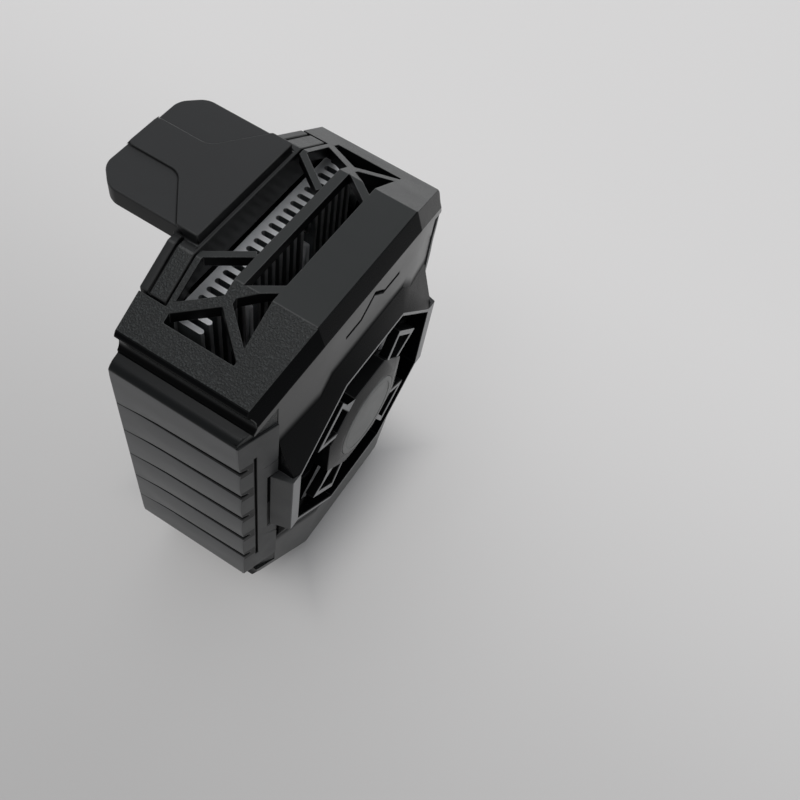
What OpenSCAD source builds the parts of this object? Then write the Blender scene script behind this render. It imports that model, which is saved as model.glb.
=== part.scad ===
// Phone cooling fan: an octagonal clip-on cooler with a thermoelectric cold plate.
// Millimetres. X runs across the fan face, -Y points to the fan, +Y to the phone, +Z up.
// The origin is the centre of the contact face that touches the phone.

/* [Case] */
// Width across the flat sides
case_w = 48; // [46:0.5:58]
// Height from the bottom flat to the top flat
case_h = 70; // [64:0.5:90]
// Width of the top and bottom flats
flat_w = 24; // [22:0.5:28]
// Drop of each sloping shoulder
shoulder_drop = 7; // [4:0.5:9]
// Depth from the contact face to the front face
front_depth = 25.3; // [24.5:0.1:32]
// Depth from the contact face to the rear rim of the case
rear_depth = 1; // [0.6:0.1:1.4]
// How far the front face falls back at its sides
side_setback = 2.3; // [1:0.1:3]
// Depth of the dark chamfer on the front edge
chamfer_depth = 1.2; // [0.6:0.1:2]
// Height of the dark chamfer on the front edge
chamfer_drop = 3; // [1.5:0.1:4]
// Wall of the top, bottom and front
wall = 1.8; // [1.4:0.1:2.2]
// Wall of the sides
side_wall = 2.6; // [2.2:0.1:3]
// Radius of the scoop between shoulder and grip
scoop_r = 2.2; // [1.8:0.1:3]
// Depth of the scoop
scoop_depth = 0.6; // [0.5:0.1:1.2]
// Width of the zig-zag groove
groove_w = 0.5; // [0.3:0.1:0.8]
// Depth of the zig-zag groove
groove_depth = 0.5; // [0.3:0.1:0.8]

/* [Vents] */
// Depth of the front edge of the vents
vent_front = 17.1; // [16:0.1:18]
// Depth of the rear edge of the side vents
vent_rear = 6.2; // [6:0.1:7]
// Depth of the front edge of the long bar
bar_front = 12.9; // [12.4:0.1:13.6]
// Width of the long bar
bar_w = 1.6; // [1.2:0.1:2]
// Width of the slanting struts
strut_w = 1.3; // [1:0.1:1.6]
// Land between the vents and the sides of the case
vent_edge = 3.9; // [3.4:0.1:5]

/* [Fan face] */
// Distance from the centre to each flat of the rim, at its front
bezel_a = 18.7; // [18.3:0.1:19.8]
// Distance from the centre to each flat of the opening
opening_a = 18.1; // [17.2:0.1:18.2]
// Height of the rim above the front face
bezel_rise = 1.6; // [1:0.1:3]
// Spread of the slopes round the rim, where they meet the front face
skirt = 3.6; // [2.4:0.1:4]
// How far the rim is widened at the left and right
ear_out = 1.6; // [1.2:0.1:2]
// Height of the widened part of the rim
ear_h = 16.6; // [15.6:0.2:18]
// Spread of the steep walls at the left and right of the rim
ear_skirt = 1.1; // [0.4:0.1:1.3]
// Distance from the centre to each flat of the hub block
hub_a = 10.2; // [9:0.1:11]
// Height of the hub above the rim
hub_rise = 0.6; // [0.3:0.1:1.5]
// Width of the sloping facets round the front of the hub
hub_bevel = 2.5; // [1:0.1:2.8]
// Radius of the pale disc in the hub
cap_r = 7.3; // [6:0.1:7.6]
// Thickness of the pale disc
cap_t = 0.6; // [0.4:0.1:0.8]
// Distance from the centre to the outer bar of a loop spoke
loop_a = 15.4; // [13.6:0.1:17]
// Width of the bars of the loop spokes
loop_w = 1; // [0.8:0.1:1.6]
// Thickness of the loop spokes
loop_t = 1.6; // [1:0.1:2]

/* [Side grips] */
// Height of a side grip along its outer face
grip_h = 44.6; // [40:0.2:48]
// How far a grip stands out of the case
grip_rise = 2.2; // [1.6:0.1:2.6]
// How far a grip is let into the case
grip_inlay = 1; // [0.6:0.1:1.1]
// Number of louvre bands on a grip
louvres = 6; // [3:1:8]
// Height of the groove between louvres
louvre_gap = 0.4; // [0.4:0.1:1.2]
// Depth of the groove between louvres
louvre_depth = 0.5; // [0.3:0.1:0.7]
// Distance of the inner edge of the front flange from the middle
flange_x = 19.9; // [18.6:0.1:21.1]
// How far the inner edge of the flange stands out of the front face
flange_rise = 0.3; // [0.1:0.1:0.6]
// How far the flange falls back to the side
flange_fall = 2.1; // [1.5:0.1:2.4]
// Depth of the step at the ends of the flange
flange_step = 0.35; // [0.2:0.05:0.5]
// Distance of the slit in the flange from the middle
slit_x = 23.6; // [23.4:0.1:24.4]
// Height of the slit in the flange
slit_h = 34; // [24:0.5:38]

/* [Clamp] */
// Travel of the upper jaw
clamp_travel = 24; // [10:1:26]
// Width of a jaw
jaw_w = 21; // [16:0.5:22]
// Reach of a jaw past the contact face
jaw_reach = 12.8; // [8:0.2:16]
// Thickness of a jaw plate
jaw_t = 3; // [2:0.1:3.4]
// Height of the raised pattern on a jaw
relief_h = 0.4; // [0.2:0.1:0.8]
// How far the upper jaw stands above the top flat
jaw_rise = 1.8; // [1:0.1:2.4]
// Corner cut of a jaw plate
jaw_cut = 2.9; // [1:0.1:4]
// Thickness of the rubber pad in a jaw
pad_t = 1; // [0.6:0.1:1.6]
// Margin of the rubber pad inside the jaw
pad_margin = 1; // [0.5:0.1:2]
// Land between the wings of the sliding cap and the sides of the case
wing_margin = 5.9; // [5.5:0.1:7]
// Depth of the front face of the sliding cap
cap_front = 5; // [4.8:0.1:5.2]
// Depth of the rear face of the sliding cap
cap_rear = 0.8; // [0.5:0.1:1.2]
// Running gap round the sliding clamp
slide_gap = 0.3; // [0.3:0.05:0.5]
// Height of the cap of the clamp under the crown of the case
cap_h = 5.7; // [5:0.1:6.5]
// Width of each leg of the clamp
leg_w = 3.3; // [2.6:0.1:3.4]
// Thickness of each leg of the clamp
leg_t = 1.7; // [1.2:0.1:1.9]
// Length of each leg that stays in its rails at full opening
leg_hold = 19; // [12:0.5:20]
// Mean radius of a clamp spring
spring_r = 1; // [0.8:0.05:1.1]
// Radius of the spring wire
wire_r = 0.22; // [0.15:0.01:0.25]
// Number of turns of a clamp spring
spring_turns = 9; // [6:1:10]

/* [Cooling stack] */
// Land between the cold plate and the rails of the clamp
plate_land = 0.6; // [0.2:0.1:1.5]
// Height of the cold plate
plate_h = 40; // [30:0.5:42]
// Thickness of the cold plate
plate_t = 1.8; // [1.4:0.1:2.2]
// Thickness of the silicone pad on the cold plate
contact_t = 0.4; // [0.2:0.1:0.5]
// Margin of the thermoelectric module inside the cold plate
peltier_margin = 1; // [0.5:0.1:3]
// Thickness of the thermoelectric module
peltier_t = 3; // [2.8:0.1:3.6]
// Thickness of each ceramic plate of the module
ceramic_t = 0.7; // [0.5:0.1:0.8]
// Pellets along each side of the module
pellet_count = 7; // [4:1:9]
// Width of a pellet
pellet_w = 1.5; // [1:0.1:1.8]
// Height of the foam frame round the module
foam_h = 34; // [30:0.5:36]
// Height of the heat sink
sink_h = 57; // [50:0.5:58]
// Thickness of the base of the heat sink
sink_base_t = 1.5; // [1.2:0.1:2]
// Length of the fins
fin_len = 3.6; // [2.5:0.1:4.5]
// Thickness of a fin
fin_t = 0.85; // [0.6:0.05:1]
// Spacing of the fins
fin_pitch = 1.75; // [1.6:0.05:2.4]

/* [Fan] */
// Gap between the fin tips and the fan
fan_gap = 1.7; // [1.2:0.1:2.5]
// Thickness of the fan frame
fan_t = 9.5; // [8.5:0.1:10]
// Inner radius of the fan frame
fan_r = 17.7; // [17:0.1:18]
// Wall of the fan frame
fan_wall = 1; // [0.8:0.1:1.2]
// Gap between the blade tips and the frame
tip_gap = 0.7; // [0.4:0.1:1]
// Radius of the impeller hub
impeller_r = 8.6; // [8.2:0.1:10]
// Wall of the impeller hub
impeller_wall = 0.8; // [0.6:0.1:1]
// Number of blades
blades = 9; // [5:1:11]
// Thickness of a blade
blade_t = 0.9; // [0.6:0.1:1.2]
// Pitch of the blades from the plane of the fan, in degrees
blade_pitch = 38; // [25:1:50]
// Thickness of the rotor magnet
magnet_t = 0.8; // [0.6:0.1:1]
// Radius of the stator
stator_r = 6.3; // [5:0.1:6.5]
// Radius of the rotor shaft
shaft_r = 1; // [0.8:0.05:1.2]
// Running clearance of the shaft in its sleeve
bearing_gap = 0.05; // [0.02:0.01:0.1]
// Outer radius of the bearing sleeve
sleeve_r = 2.2; // [1.8:0.1:2.5]

/* [Electronics and fasteners] */
// Width of the power socket
socket_w = 8.9; // [8.5:0.1:9.4]
// Thickness of the power socket
socket_t = 3.2; // [3:0.1:3.4]
// Distance from the front face to the middle of the power socket
socket_set = 4.7; // [4.4:0.1:5.4]
// Width of the control board
board_w = 22; // [18:0.5:23]
// Thickness of the control board
board_t = 1; // [0.8:0.1:1.2]
// Radius of a lead
lead_r = 0.45; // [0.3:0.05:0.5]
// Radius of a screw head
head_r = 1.3; // [1.1:0.1:1.4]
// Height of a screw head
head_h = 0.8; // [0.6:0.1:1]
// Radius of a screw shank
shank_r = 0.7; // [0.5:0.1:0.8]
// Wall of the bosses round the screws
boss_wall = 1; // [0.8:0.1:1.1]

/* [Hidden] */
$fn = 64;
// Larger than the whole object, for cutting by planes
reach = 4 * case_h;
// Overshoot of a cut past a face
over = 1;

// Half sizes and slopes of the case
half_w = case_w / 2;
half_h = case_h / 2;
crease_x = flat_w / 2;
slope = shoulder_drop / (half_w - crease_x);
slant = sqrt(1 + slope * slope);
edge_depth = front_depth - chamfer_depth;
inner_x = half_w - side_wall;
inner_z = half_h - wall;

// Depths of the cooling stack, counted from the contact face
plate_rear = contact_t + plate_t;
sink_y = plate_rear + peltier_t;
fin_y = sink_y + sink_base_t;
fan_clear = 2;
depth_share = (front_depth - wall - fan_clear - fin_y) / (fin_len + fan_gap + fan_t);
fin_l = fin_len * depth_share;
fan_depth = fan_t * depth_share;
fin_tip = fin_y + fin_l;
cover_t = plate_rear - rear_depth;
cover_in = rear_depth + cover_t + slide_gap;

// Depths of the fan, counted from the contact face
fan_rear = fin_tip + fan_gap * depth_share;
fan_front = fan_rear + fan_depth;
fan_base_t = 1.2;
fan_base_r = stator_r + 0.8;
rotor_front = fan_front - 0.2;
rotor_rear = fan_rear + fan_base_t + 0.7;
rotor_floor = 0.9;
rotor_inside = rotor_front - rotor_floor;
shaft_seat = 0.5;
lug_r = 2.2;
lug_t = 1.6;
lug_at = (opening_a + 3.1) / sqrt(2);

// Front flange of a grip: its slanting face runs from the inner edge to the side of the grip
grip_x = half_w + grip_rise;
ear_x = bezel_a + ear_out;
rim_gap = 0.3;
flange_depth = front_depth + flange_rise - (flange_x - crease_x) * side_setback / (half_w - crease_x);
flange_n = [flange_fall, flange_x - grip_x, 0];

// Depths of the fan face, counted from the contact face
bezel_front = front_depth + bezel_rise;
hub_front = bezel_front + hub_rise;
disc_r = min(cap_r, hub_a - hub_bevel - 0.3);
disc_seat = hub_front + 0.1 - cap_t;
hub_rear = front_depth - wall;
loop_front = bezel_front;
spigot_wall = 1;

// Clamp
jaw_top = half_h + jaw_rise;
jaw_front = cap_front - 0.5;
jaw_under = jaw_top - relief_h - jaw_t;
cap_under = half_h - cap_h;
wing_w = case_w - 2 * wing_margin;
leg_l = clamp_travel + leg_hold;
leg_x = wing_w / 2 - 0.2 - leg_w / 2;
channel_y = plate_rear + peltier_t / 2;
slot_half = wing_w / 2 + slide_gap;
slot_front = cap_front + slide_gap;
lower_top = -half_h + relief_h + jaw_t;
rail_w = 0.7;
rail_x = leg_x - leg_w / 2 - slide_gap - rail_w;
rail_top = cap_under - 2 * slide_gap;
leg_end = cap_under - leg_l;
post_r = 1;
post_z = -inner_z + 6;
spring_low = post_z + post_r;
spring_high = leg_end - slide_gap;

// Screws
case_screw_x = inner_x - head_r - 0.2;
case_screw_z = half_h - 13;
boss_r = shank_r + boss_wall;

// Widths of the cooling stack, which lies between the rails and the bosses
plate_w = 2 * (rail_x - plate_land);
foam_w = 2 * rail_x;
peltier_w = plate_w - 2 * peltier_margin;
sink_room = case_screw_x - boss_r - 0.25;
fin_count = 2 * floor((sink_room - fin_t / 2) / fin_pitch) + 1;
sink_w = (fin_count - 1) * fin_pitch + fin_t;

// Electronics
socket_depth = front_depth - socket_set;
board_z = -sink_h / 2 - 1.7;
board_front = socket_depth + 2.2;
board_rear = socket_depth - 3;
lead_x = min(peltier_w / 2 - 1.2, board_w / 2 - 0.2);
lead_y = channel_y;
sink_screw_x = lead_x - 3.8;
sink_screw_z = min(half_h - 11, sink_h / 2 - 4.5);
tongue_half = min(jaw_w / 2 - 0.7, lead_x - lead_r - 0.55);
fan_lead_y = fan_rear - lead_r;

// Height of the shoulder at a distance from the middle, under a wall
function shoulder_z(x, inset = 0) = half_h - (x - crease_x) * slope - inset * slant;

// Unit vector
function unit(v) = v / norm(v);

// Case outline seen from the front, drawn in by the walls
module case_profile(inset, side_inset) {
    top = half_h - inset;
    edge = half_w - side_inset;
    flat = crease_x + inset * (1 - slant) / slope;
    low = shoulder_z(edge, inset);
    polygon([
        [flat, top], [edge, low], [edge, -low], [flat, -top],
        [-flat, -top], [-edge, -low], [-edge, low], [-flat, top]
    ]);
}

// Stretches a front outline from one depth to another
module deep(from, to) {
    translate([0, -from, 0])
        rotate([90, 0, 0])
            linear_extrude(to - from)
                children();
}

// Everything on the far side of a plane
module beyond(p, n) {
    translate(p)
        rotate([0, acos(n.z / norm(n)), atan2(n.y, n.x)])
            translate([-reach / 2, -reach / 2, 0])
                cube(reach);
}

module left_right() {
    children();
    mirror([1, 0, 0]) children();
}

module up_down() {
    children();
    mirror([0, 0, 1]) children();
}

// Regular octagon with flats at the top and sides
module octagon(apothem) {
    rotate(180 / 8)
        circle(r = apothem / cos(180 / 8), $fn = 8);
}

// Flat bar between two points
module bar(a, b, w) {
    d = b - a;
    translate(a)
        rotate(atan2(d.y, d.x))
            translate([0, -w / 2])
                square([norm(d), w]);
}

// Straight round lead between two points with round ends
module lead(a, b) {
    d = b - a;
    translate(a)
        rotate([0, acos(d.z / norm(d)), atan2(d.y, d.x)])
            cylinder(r = lead_r, h = norm(d));
    translate(b) sphere(r = lead_r);
}

// Body of the case with its facets and chamfers, drawn in by the walls
module case_form(inset, side_inset, rear) {
    edge = [crease_x, -edge_depth, half_h];
    corner = [half_w, -edge_depth + side_setback, half_h - shoulder_drop];
    foot = [crease_x, -front_depth, half_h - chamfer_drop];
    top_n = [0, -chamfer_drop, chamfer_depth];
    side_n = [side_setback, crease_x - half_w, 0];
    slope_n = cross(foot - edge, corner - edge);
    difference() {
        deep(rear, front_depth - inset) case_profile(inset, side_inset);
        left_right() beyond(foot - inset * unit(side_n), side_n);
        up_down() beyond(edge - inset * unit(top_n), top_n);
        up_down() left_right() beyond(edge - inset * unit(slope_n), slope_n);
    }
}

// Vent openings seen from above, with the struts left standing
module vent_plan() {
    outer = half_w - vent_edge;
    node_x = crease_x + 2.5;
    node_y = bar_front - bar_w / 2 - 0.2;
    mid_y = bar_front - bar_w;
    difference() {
        union() {
            translate([-outer, -vent_front]) square([2 * outer, vent_front - vent_rear]);
            translate([-crease_x + 1, -vent_rear - over]) square([flat_w - 2, vent_rear + over - cap_front]);
        }
        translate([-node_x, -bar_front]) square([2 * node_x, bar_w]);
        for (s = [-1, 1]) {
            bar([s * (crease_x + 6.9), -cap_front], [s * node_x, -node_y], strut_w);
            bar([s * node_x, -node_y], [s * (crease_x + 7.1), -vent_front - 0.4], strut_w);
            bar([s * (crease_x + 1.3), -bar_front + 0.5], [s * (crease_x - 2.5), -vent_front - 0.4], strut_w);
            bar([s * (crease_x - 0.4), -slot_front], [s * (crease_x - 4.9), -mid_y], strut_w - 0.2);
        }
    }
}

// Zig-zag groove seen from the front
module zigzag_plan() {
    base = half_h - 7.4;
    tip = base + 2.7;
    bar([-6.7, base], [-2.9, base], groove_w);
    bar([-3, base], [0.1, tip], groove_w);
    bar([0, tip], [2.7, base + 0.4], groove_w);
    bar([2.6, base + 0.3], [6.9, base + 0.3], groove_w);
}

// Places on the diagonals where the fan is screwed on
module fan_corners() {
    for (sx = [-1, 1], sz = [-1, 1])
        translate([sx * lug_at, 0, sz * lug_at])
            rotate([90, 0, 0])
                children();
}

module case_corners() {
    for (sx = [-1, 1], sz = [-1, 1])
        translate([sx * case_screw_x, 0, sz * case_screw_z])
            rotate([90, 0, 0])
                children();
}

module sink_corners() {
    for (sx = [-1, 1], sz = [-1, 1])
        translate([sx * sink_screw_x, 0, sz * sink_screw_z])
            rotate([90, 0, 0])
                children();
}

// Pan-head screw whose head starts at a depth and whose shank runs toward the fan
module screw_from(depth, shank) {
    translate([0, 0, depth]) {
        difference() {
            cylinder(r = head_r, h = head_h);
            for (a = [0, 90])
                rotate(a) translate([-head_r * 0.65, -0.18, -over]) cube([head_r * 1.3, 0.36, over + 0.4]);
        }
        translate([0, 0, head_h]) cylinder(r = shank_r, h = shank);
    }
}

// Strip round the right side that a grip fills, between two skins, with ends along the shoulders
module grip_zone(outset, inset) {
    difference() {
        case_form(-outset, -outset, rear_depth);
        case_form(inset, inset, rear_depth - over);
        beyond([flange_x, 0, 0], [-1, 0, 0]);
        up_down() beyond([grip_x, 0, grip_h / 2], [slope, 0, 1]);
        // room for the widened part of the rim
        deep(rear_depth, bezel_front + 2 * over)
            square([2 * (ear_x + ear_skirt + rim_gap), ear_h + 2 * rim_gap], center = true);
    }
}

// Everything in front of the slanting face of a flange, lowered into it
module flange_cut(depth) {
    beyond([flange_x, -flange_depth, 0] - depth * unit(flange_n), flange_n);
}

// Pegs that hold a grip in the side wall
module grip_pegs() {
    for (s = [-1, 1])
        translate([inner_x, -(front_depth + rear_depth) / 2 - 0.7, s * grip_h / 3])
            rotate([0, 90, 0])
                cylinder(r = 1, h = half_w - grip_inlay - inner_x);
}

module front_shell() {
    scoop_z = (half_h - shoulder_drop + grip_h / 2 + slope * grip_rise) / 2;
    color("#2b2d2e")
    difference() {
        union() {
            difference() {
                case_form(0, 0, rear_depth);
                case_form(wall, side_wall, rear_depth - over);
                // fan opening
                deep(edge_depth - 2 * wall, front_depth + over) octagon(opening_a + spigot_wall);
                // vents in the top and bottom
                up_down()
                    translate([0, 0, shoulder_z(half_w, wall) - over])
                        linear_extrude(half_h)
                            vent_plan();
            }
            // bosses for the rear cover screws
            intersection() {
                case_corners() translate([0, 0, plate_rear]) cylinder(r = boss_r, h = 9);
                case_form(wall / 2, side_wall / 2, rear_depth);
            }
            // bosses for the fan screws
            intersection() {
                fan_corners() translate([0, 0, fan_front]) cylinder(r = boss_r, h = front_depth - fan_front);
                case_form(wall / 2, side_wall / 2, rear_depth);
            }
            // ribs under the control board
            left_right()
                translate([board_w / 2 - 2, -board_front, -inner_z - wall / 2])
                    cube([1.6, board_front - board_rear - 0.6, board_z + inner_z + wall / 2]);
        }
        // opening for the sliding clamp
        translate([-slot_half, -slot_front, cap_under - slide_gap])
            cube([2 * slot_half, slot_front + over, half_h]);
        // opening for the fixed jaw
        translate([-jaw_w / 2, -slot_front, -half_h - over])
            cube([jaw_w, slot_front + over, wall + over]);
        // seats, scoops and peg holes of the side grips
        left_right() {
            grip_zone(over, grip_inlay);
            grip_pegs();
            up_down()
                translate([half_w + scoop_r - scoop_depth, over, scoop_z])
                    rotate([90, 0, 0])
                        cylinder(r = scoop_r, h = front_depth + 2 * over);
        }
        // screw holes
        case_corners() cylinder(r = shank_r, h = rear_depth + head_h + 7);
        fan_corners() translate([0, 0, fan_front]) cylinder(r = shank_r, h = 1.2);
        // zig-zag groove
        deep(front_depth - groove_depth, front_depth + over) zigzag_plan();
        // power socket
        translate([0, -socket_depth, -half_h - over]) socket_body(wall + 2 * over);
    }
}

module back_cover() {
    color("#3a3c3d")
    difference() {
        union() {
            intersection() {
                deep(rear_depth, plate_rear) case_profile(wall, side_wall);
                translate([-half_w, -front_depth, -half_h]) cube([case_w, front_depth, half_h + rail_top]);
            }
            // rails beside the clamp legs
            left_right()
                for (x = [rail_x, leg_x + leg_w / 2 + slide_gap])
                    translate([x, -sink_y, post_z - post_r])
                        cube([rail_w, peltier_t, rail_top - post_z + post_r]);
            // posts that hold the springs
            left_right()
                translate([leg_x, -plate_rear, post_z])
                    rotate([90, 0, 0])
                        cylinder(r = post_r, h = peltier_t);
            // bosses for the heat sink screws
            sink_corners() translate([0, 0, plate_rear]) cylinder(r = boss_r, h = peltier_t);
        }
        // window for the cold plate
        translate([-plate_w / 2, -front_depth, -plate_h / 2]) cube([plate_w, front_depth, plate_h]);
        // notch for the fixed jaw
        translate([-jaw_w / 2, -slot_front, -half_h]) cube([jaw_w, slot_front, lower_top + half_h]);
        // holes of the screws
        case_corners() translate([0, 0, rear_depth - over]) cylinder(r = head_r, h = over + head_h);
        case_corners() cylinder(r = shank_r, h = front_depth);
        sink_corners() translate([0, 0, plate_rear]) cylinder(r = shank_r, h = peltier_t + over);
        // room for the bosses of the case beside the rails
        case_corners()
            translate([0, 0, plate_rear])
                cylinder(r = boss_r + slide_gap / 2, h = peltier_t + over);
    }
}

// One louvred grip on the right side
module side_grip() {
    pitch = grip_h / louvres;
    hook_x = grip_x - 1.4;
    slit_w = 0.5;
    difference() {
        union() {
            grip_zone(grip_rise, grip_inlay);
            grip_pegs();
        }
        flange_cut(0);
        // steps at the ends of the flange
        up_down()
            intersection() {
                flange_cut(flange_step);
                beyond([0, 0, grip_h / 2], [0, 0, 1]);
            }
        // grooves between the louvres, hooked round onto the flange
        for (i = [1 : louvres - 1])
            intersection() {
                translate([hook_x, -bezel_front, -grip_h / 2 + i * pitch - louvre_gap / 2])
                    cube([half_w, bezel_front, louvre_gap]);
                union() {
                    beyond([grip_x - louvre_depth, 0, 0], [1, 0, 0]);
                    flange_cut(louvre_depth);
                }
            }
        // slit in the flange
        intersection() {
            flange_cut(louvre_depth);
            translate([slit_x - slit_w / 2, -bezel_front, -slit_h / 2])
                cube([slit_w, bezel_front, slit_h]);
        }
    }
}

module side_grip_right() {
    color("#4a4c4e") side_grip();
}

module side_grip_left() {
    color("#4a4c4e") mirror([1, 0, 0]) side_grip();
}

module fan_bezel() {
    rear = edge_depth - side_setback;
    color("#1d1f20")
    difference() {
        union() {
            // slopes at the top, the bottom and the diagonals
            difference() {
                deep(rear, bezel_front)
                    square([2 * (flange_x - rim_gap), case_h - 2 * chamfer_drop], center = true);
                for (i = [1, 2, 3, 5, 6, 7]) {
                    a = i * 45;
                    lip = [bezel_a * cos(a), -bezel_front, bezel_a * sin(a)];
                    beyond(lip, [bezel_rise * cos(a), -skirt, bezel_rise * sin(a)]);
                }
                case_form(0, 0, rear_depth);
            }
            // widened parts with steep walls at the left and right
            left_right()
                difference() {
                    translate([opening_a - over, -bezel_front, -ear_h / 2])
                        cube([ear_x + ear_skirt - opening_a + over, bezel_front - rear, ear_h]);
                    beyond([ear_x, -bezel_front, 0], [bezel_front - rear - over, -ear_skirt, 0]);
                    case_form(0, 0, rear_depth);
                }
            deep(hub_rear, bezel_front - 1) octagon(opening_a + spigot_wall);
        }
        deep(hub_rear - over, bezel_front + over) octagon(opening_a);
    }
}

// One loop spoke pointing along +X, seen from the front
module loop_plan() {
    root = hub_a - 1;
    difference() {
        polygon([[root, -2.6], [loop_a, -4.3], [loop_a, 4.3], [root, 2.6]]);
        polygon([
            [root, -2.6 + loop_w], [loop_a - loop_w, -4.1 + loop_w],
            [loop_a - loop_w, 4.1 - loop_w], [root, 2.6 - loop_w]
        ]);
    }
}

module fan_grille() {
    arm_w = 2;
    arm_t = 0.9;
    color("#26282a")
    difference() {
        union() {
            difference() {
                deep(hub_rear, hub_front) octagon(hub_a);
                for (i = [0 : 7]) {
                    a = i * 45;
                    rim = hub_a - hub_bevel;
                    beyond(
                        [rim * cos(a), -hub_front, rim * sin(a)],
                        [hub_rise * cos(a), -hub_bevel, hub_rise * sin(a)]
                    );
                }
            }
            deep(loop_front - loop_t, loop_front)
                for (a = [45 : 90 : 315])
                    rotate(a) loop_plan();
            // arms behind the loops that carry the hub in the opening
            deep(hub_rear, hub_rear + arm_t)
                for (a = [45 : 90 : 315])
                    rotate(a) translate([hub_a - 1, -arm_w / 2]) square([opening_a - hub_a + 1, arm_w]);
        }
        translate([0, -disc_seat, 0]) rotate([90, 0, 0]) cylinder(r = disc_r, h = cap_t + over);
    }
}

module hub_cap() {
    color("#8d9194")
    translate([0, -disc_seat, 0])
        rotate([90, 0, 0])
            cylinder(r = disc_r, h = cap_t);
}

module fan_frame() {
    color("#17181a")
    rotate([90, 0, 0])
    difference() {
        union() {
            difference() {
                translate([0, 0, fan_rear]) cylinder(r = fan_r + fan_wall, h = fan_depth);
                translate([0, 0, fan_rear - over]) cylinder(r = fan_r, h = fan_depth + 2 * over);
            }
            // plate that carries the motor, and its struts
            translate([0, 0, fan_rear]) cylinder(r = fan_base_r, h = fan_base_t);
            for (a = [45 : 90 : 315])
                rotate(a)
                    translate([0, -0.9, fan_rear])
                        cube([fan_r + fan_wall / 2, 1.8, fan_base_t]);
            // lugs for the fan screws
            for (a = [45 : 90 : 315])
                rotate(a)
                    difference() {
                        translate([fan_r + fan_wall / 2, -lug_r, fan_front - lug_t])
                            cube([lug_at * sqrt(2) + lug_r - fan_r - fan_wall / 2, 2 * lug_r, lug_t]);
                        translate([lug_at * sqrt(2), 0, fan_front - lug_t - over])
                            cylinder(r = shank_r, h = lug_t + 2 * over);
                    }
        }
        translate([0, 0, fan_rear - over]) cylinder(r = sleeve_r, h = fan_base_t + 2 * over);
    }
}

module motor_stator() {
    base = fan_rear + fan_base_t;
    height = rotor_inside - 1 - base;
    color("#b26a2c")
    rotate([90, 0, 0])
    difference() {
        translate([0, 0, base]) cylinder(r = stator_r, h = height);
        translate([0, 0, base - over]) cylinder(r = sleeve_r, h = height + 2 * over);
        // slots between the four wound poles
        for (a = [0 : 90 : 270])
            rotate(a)
                translate([sleeve_r + 1.2, -0.9, base + 0.8])
                    cube([stator_r, 1.8, height]);
    }
}

module bearing_sleeve() {
    color("#c79a4b")
    rotate([90, 0, 0])
    difference() {
        translate([0, 0, fan_rear]) cylinder(r = sleeve_r, h = rotor_inside - 0.6 - fan_rear);
        translate([0, 0, fan_rear - over]) cylinder(r = shaft_r + bearing_gap, h = fan_depth + 2 * over);
    }
}

module impeller() {
    tip_r = fan_r - tip_gap;
    color("#101112")
    rotate([90, 0, 0])
    difference() {
        union() {
            translate([0, 0, rotor_rear]) cylinder(r = impeller_r, h = rotor_front - rotor_rear);
            intersection() {
                union()
                    for (i = [0 : blades - 1])
                        rotate(i * 360 / blades)
                            translate([impeller_r - 0.4, 0, (rotor_rear + rotor_front) / 2])
                                rotate([blade_pitch, 0, 0])
                                    translate([0, -fan_depth, -blade_t / 2])
                                        cube([fan_r, 2 * fan_depth, blade_t]);
                translate([0, 0, rotor_rear + 0.3]) cylinder(r = tip_r, h = rotor_front - rotor_rear - 0.6);
            }
        }
        translate([0, 0, rotor_rear - over])
            cylinder(r = impeller_r - impeller_wall, h = rotor_inside - rotor_rear + over);
        translate([0, 0, rotor_rear - over])
            cylinder(r = shaft_r, h = rotor_inside - rotor_rear + over + shaft_seat);
    }
}

module rotor_magnet() {
    outer = impeller_r - impeller_wall;
    height = rotor_inside - rotor_rear - 1.2;
    color("#55585b")
    rotate([90, 0, 0])
    difference() {
        translate([0, 0, rotor_rear + 0.6]) cylinder(r = outer, h = height);
        translate([0, 0, rotor_rear]) cylinder(r = outer - magnet_t, h = height + over);
    }
}

module rotor_shaft() {
    color("#c9ccd0")
    rotate([90, 0, 0])
    translate([0, 0, fan_rear + 0.5])
        cylinder(r = shaft_r, h = rotor_inside + shaft_seat - fan_rear - 0.5);
}

// Comb of the heat sink seen from above, with round roots and tips
module comb_plan() {
    gap = fin_pitch - fin_t;
    difference() {
        translate([-sink_w / 2, -fin_y - gap / 2]) square([sink_w, sink_base_t + gap / 2]);
        for (i = [1 : fin_count - 1])
            translate([(i - fin_count / 2) * fin_pitch, -fin_y - gap / 2]) circle(d = gap, $fn = 24);
    }
    for (i = [0 : fin_count - 1])
        translate([(i - (fin_count - 1) / 2) * fin_pitch, 0]) {
            translate([-fin_t / 2, -fin_tip + fin_t / 2]) square([fin_t, fin_l - fin_t / 2]);
            translate([0, -fin_tip + fin_t / 2]) circle(d = fin_t, $fn = 24);
        }
}

module heat_sink() {
    color("#b9bdc1")
    difference() {
        intersection() {
            translate([0, 0, -sink_h / 2]) linear_extrude(sink_h) comb_plan();
            deep(rear_depth, front_depth) case_profile(wall + slide_gap, side_wall + slide_gap);
        }
        // screw holes, with the fins cut away for the heads
        sink_corners() translate([0, 0, sink_y - over]) cylinder(r = shank_r, h = sink_base_t + 2 * over);
        sink_corners() translate([0, 0, fin_y]) cylinder(r = head_r + 0.3, h = fin_l + over);
    }
}

module peltier_plates() {
    color("#f0efe9")
    for (y = [plate_rear + ceramic_t, sink_y])
        translate([-peltier_w / 2, -y, -peltier_w / 2])
            cube([peltier_w, ceramic_t, peltier_w]);
}

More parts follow.
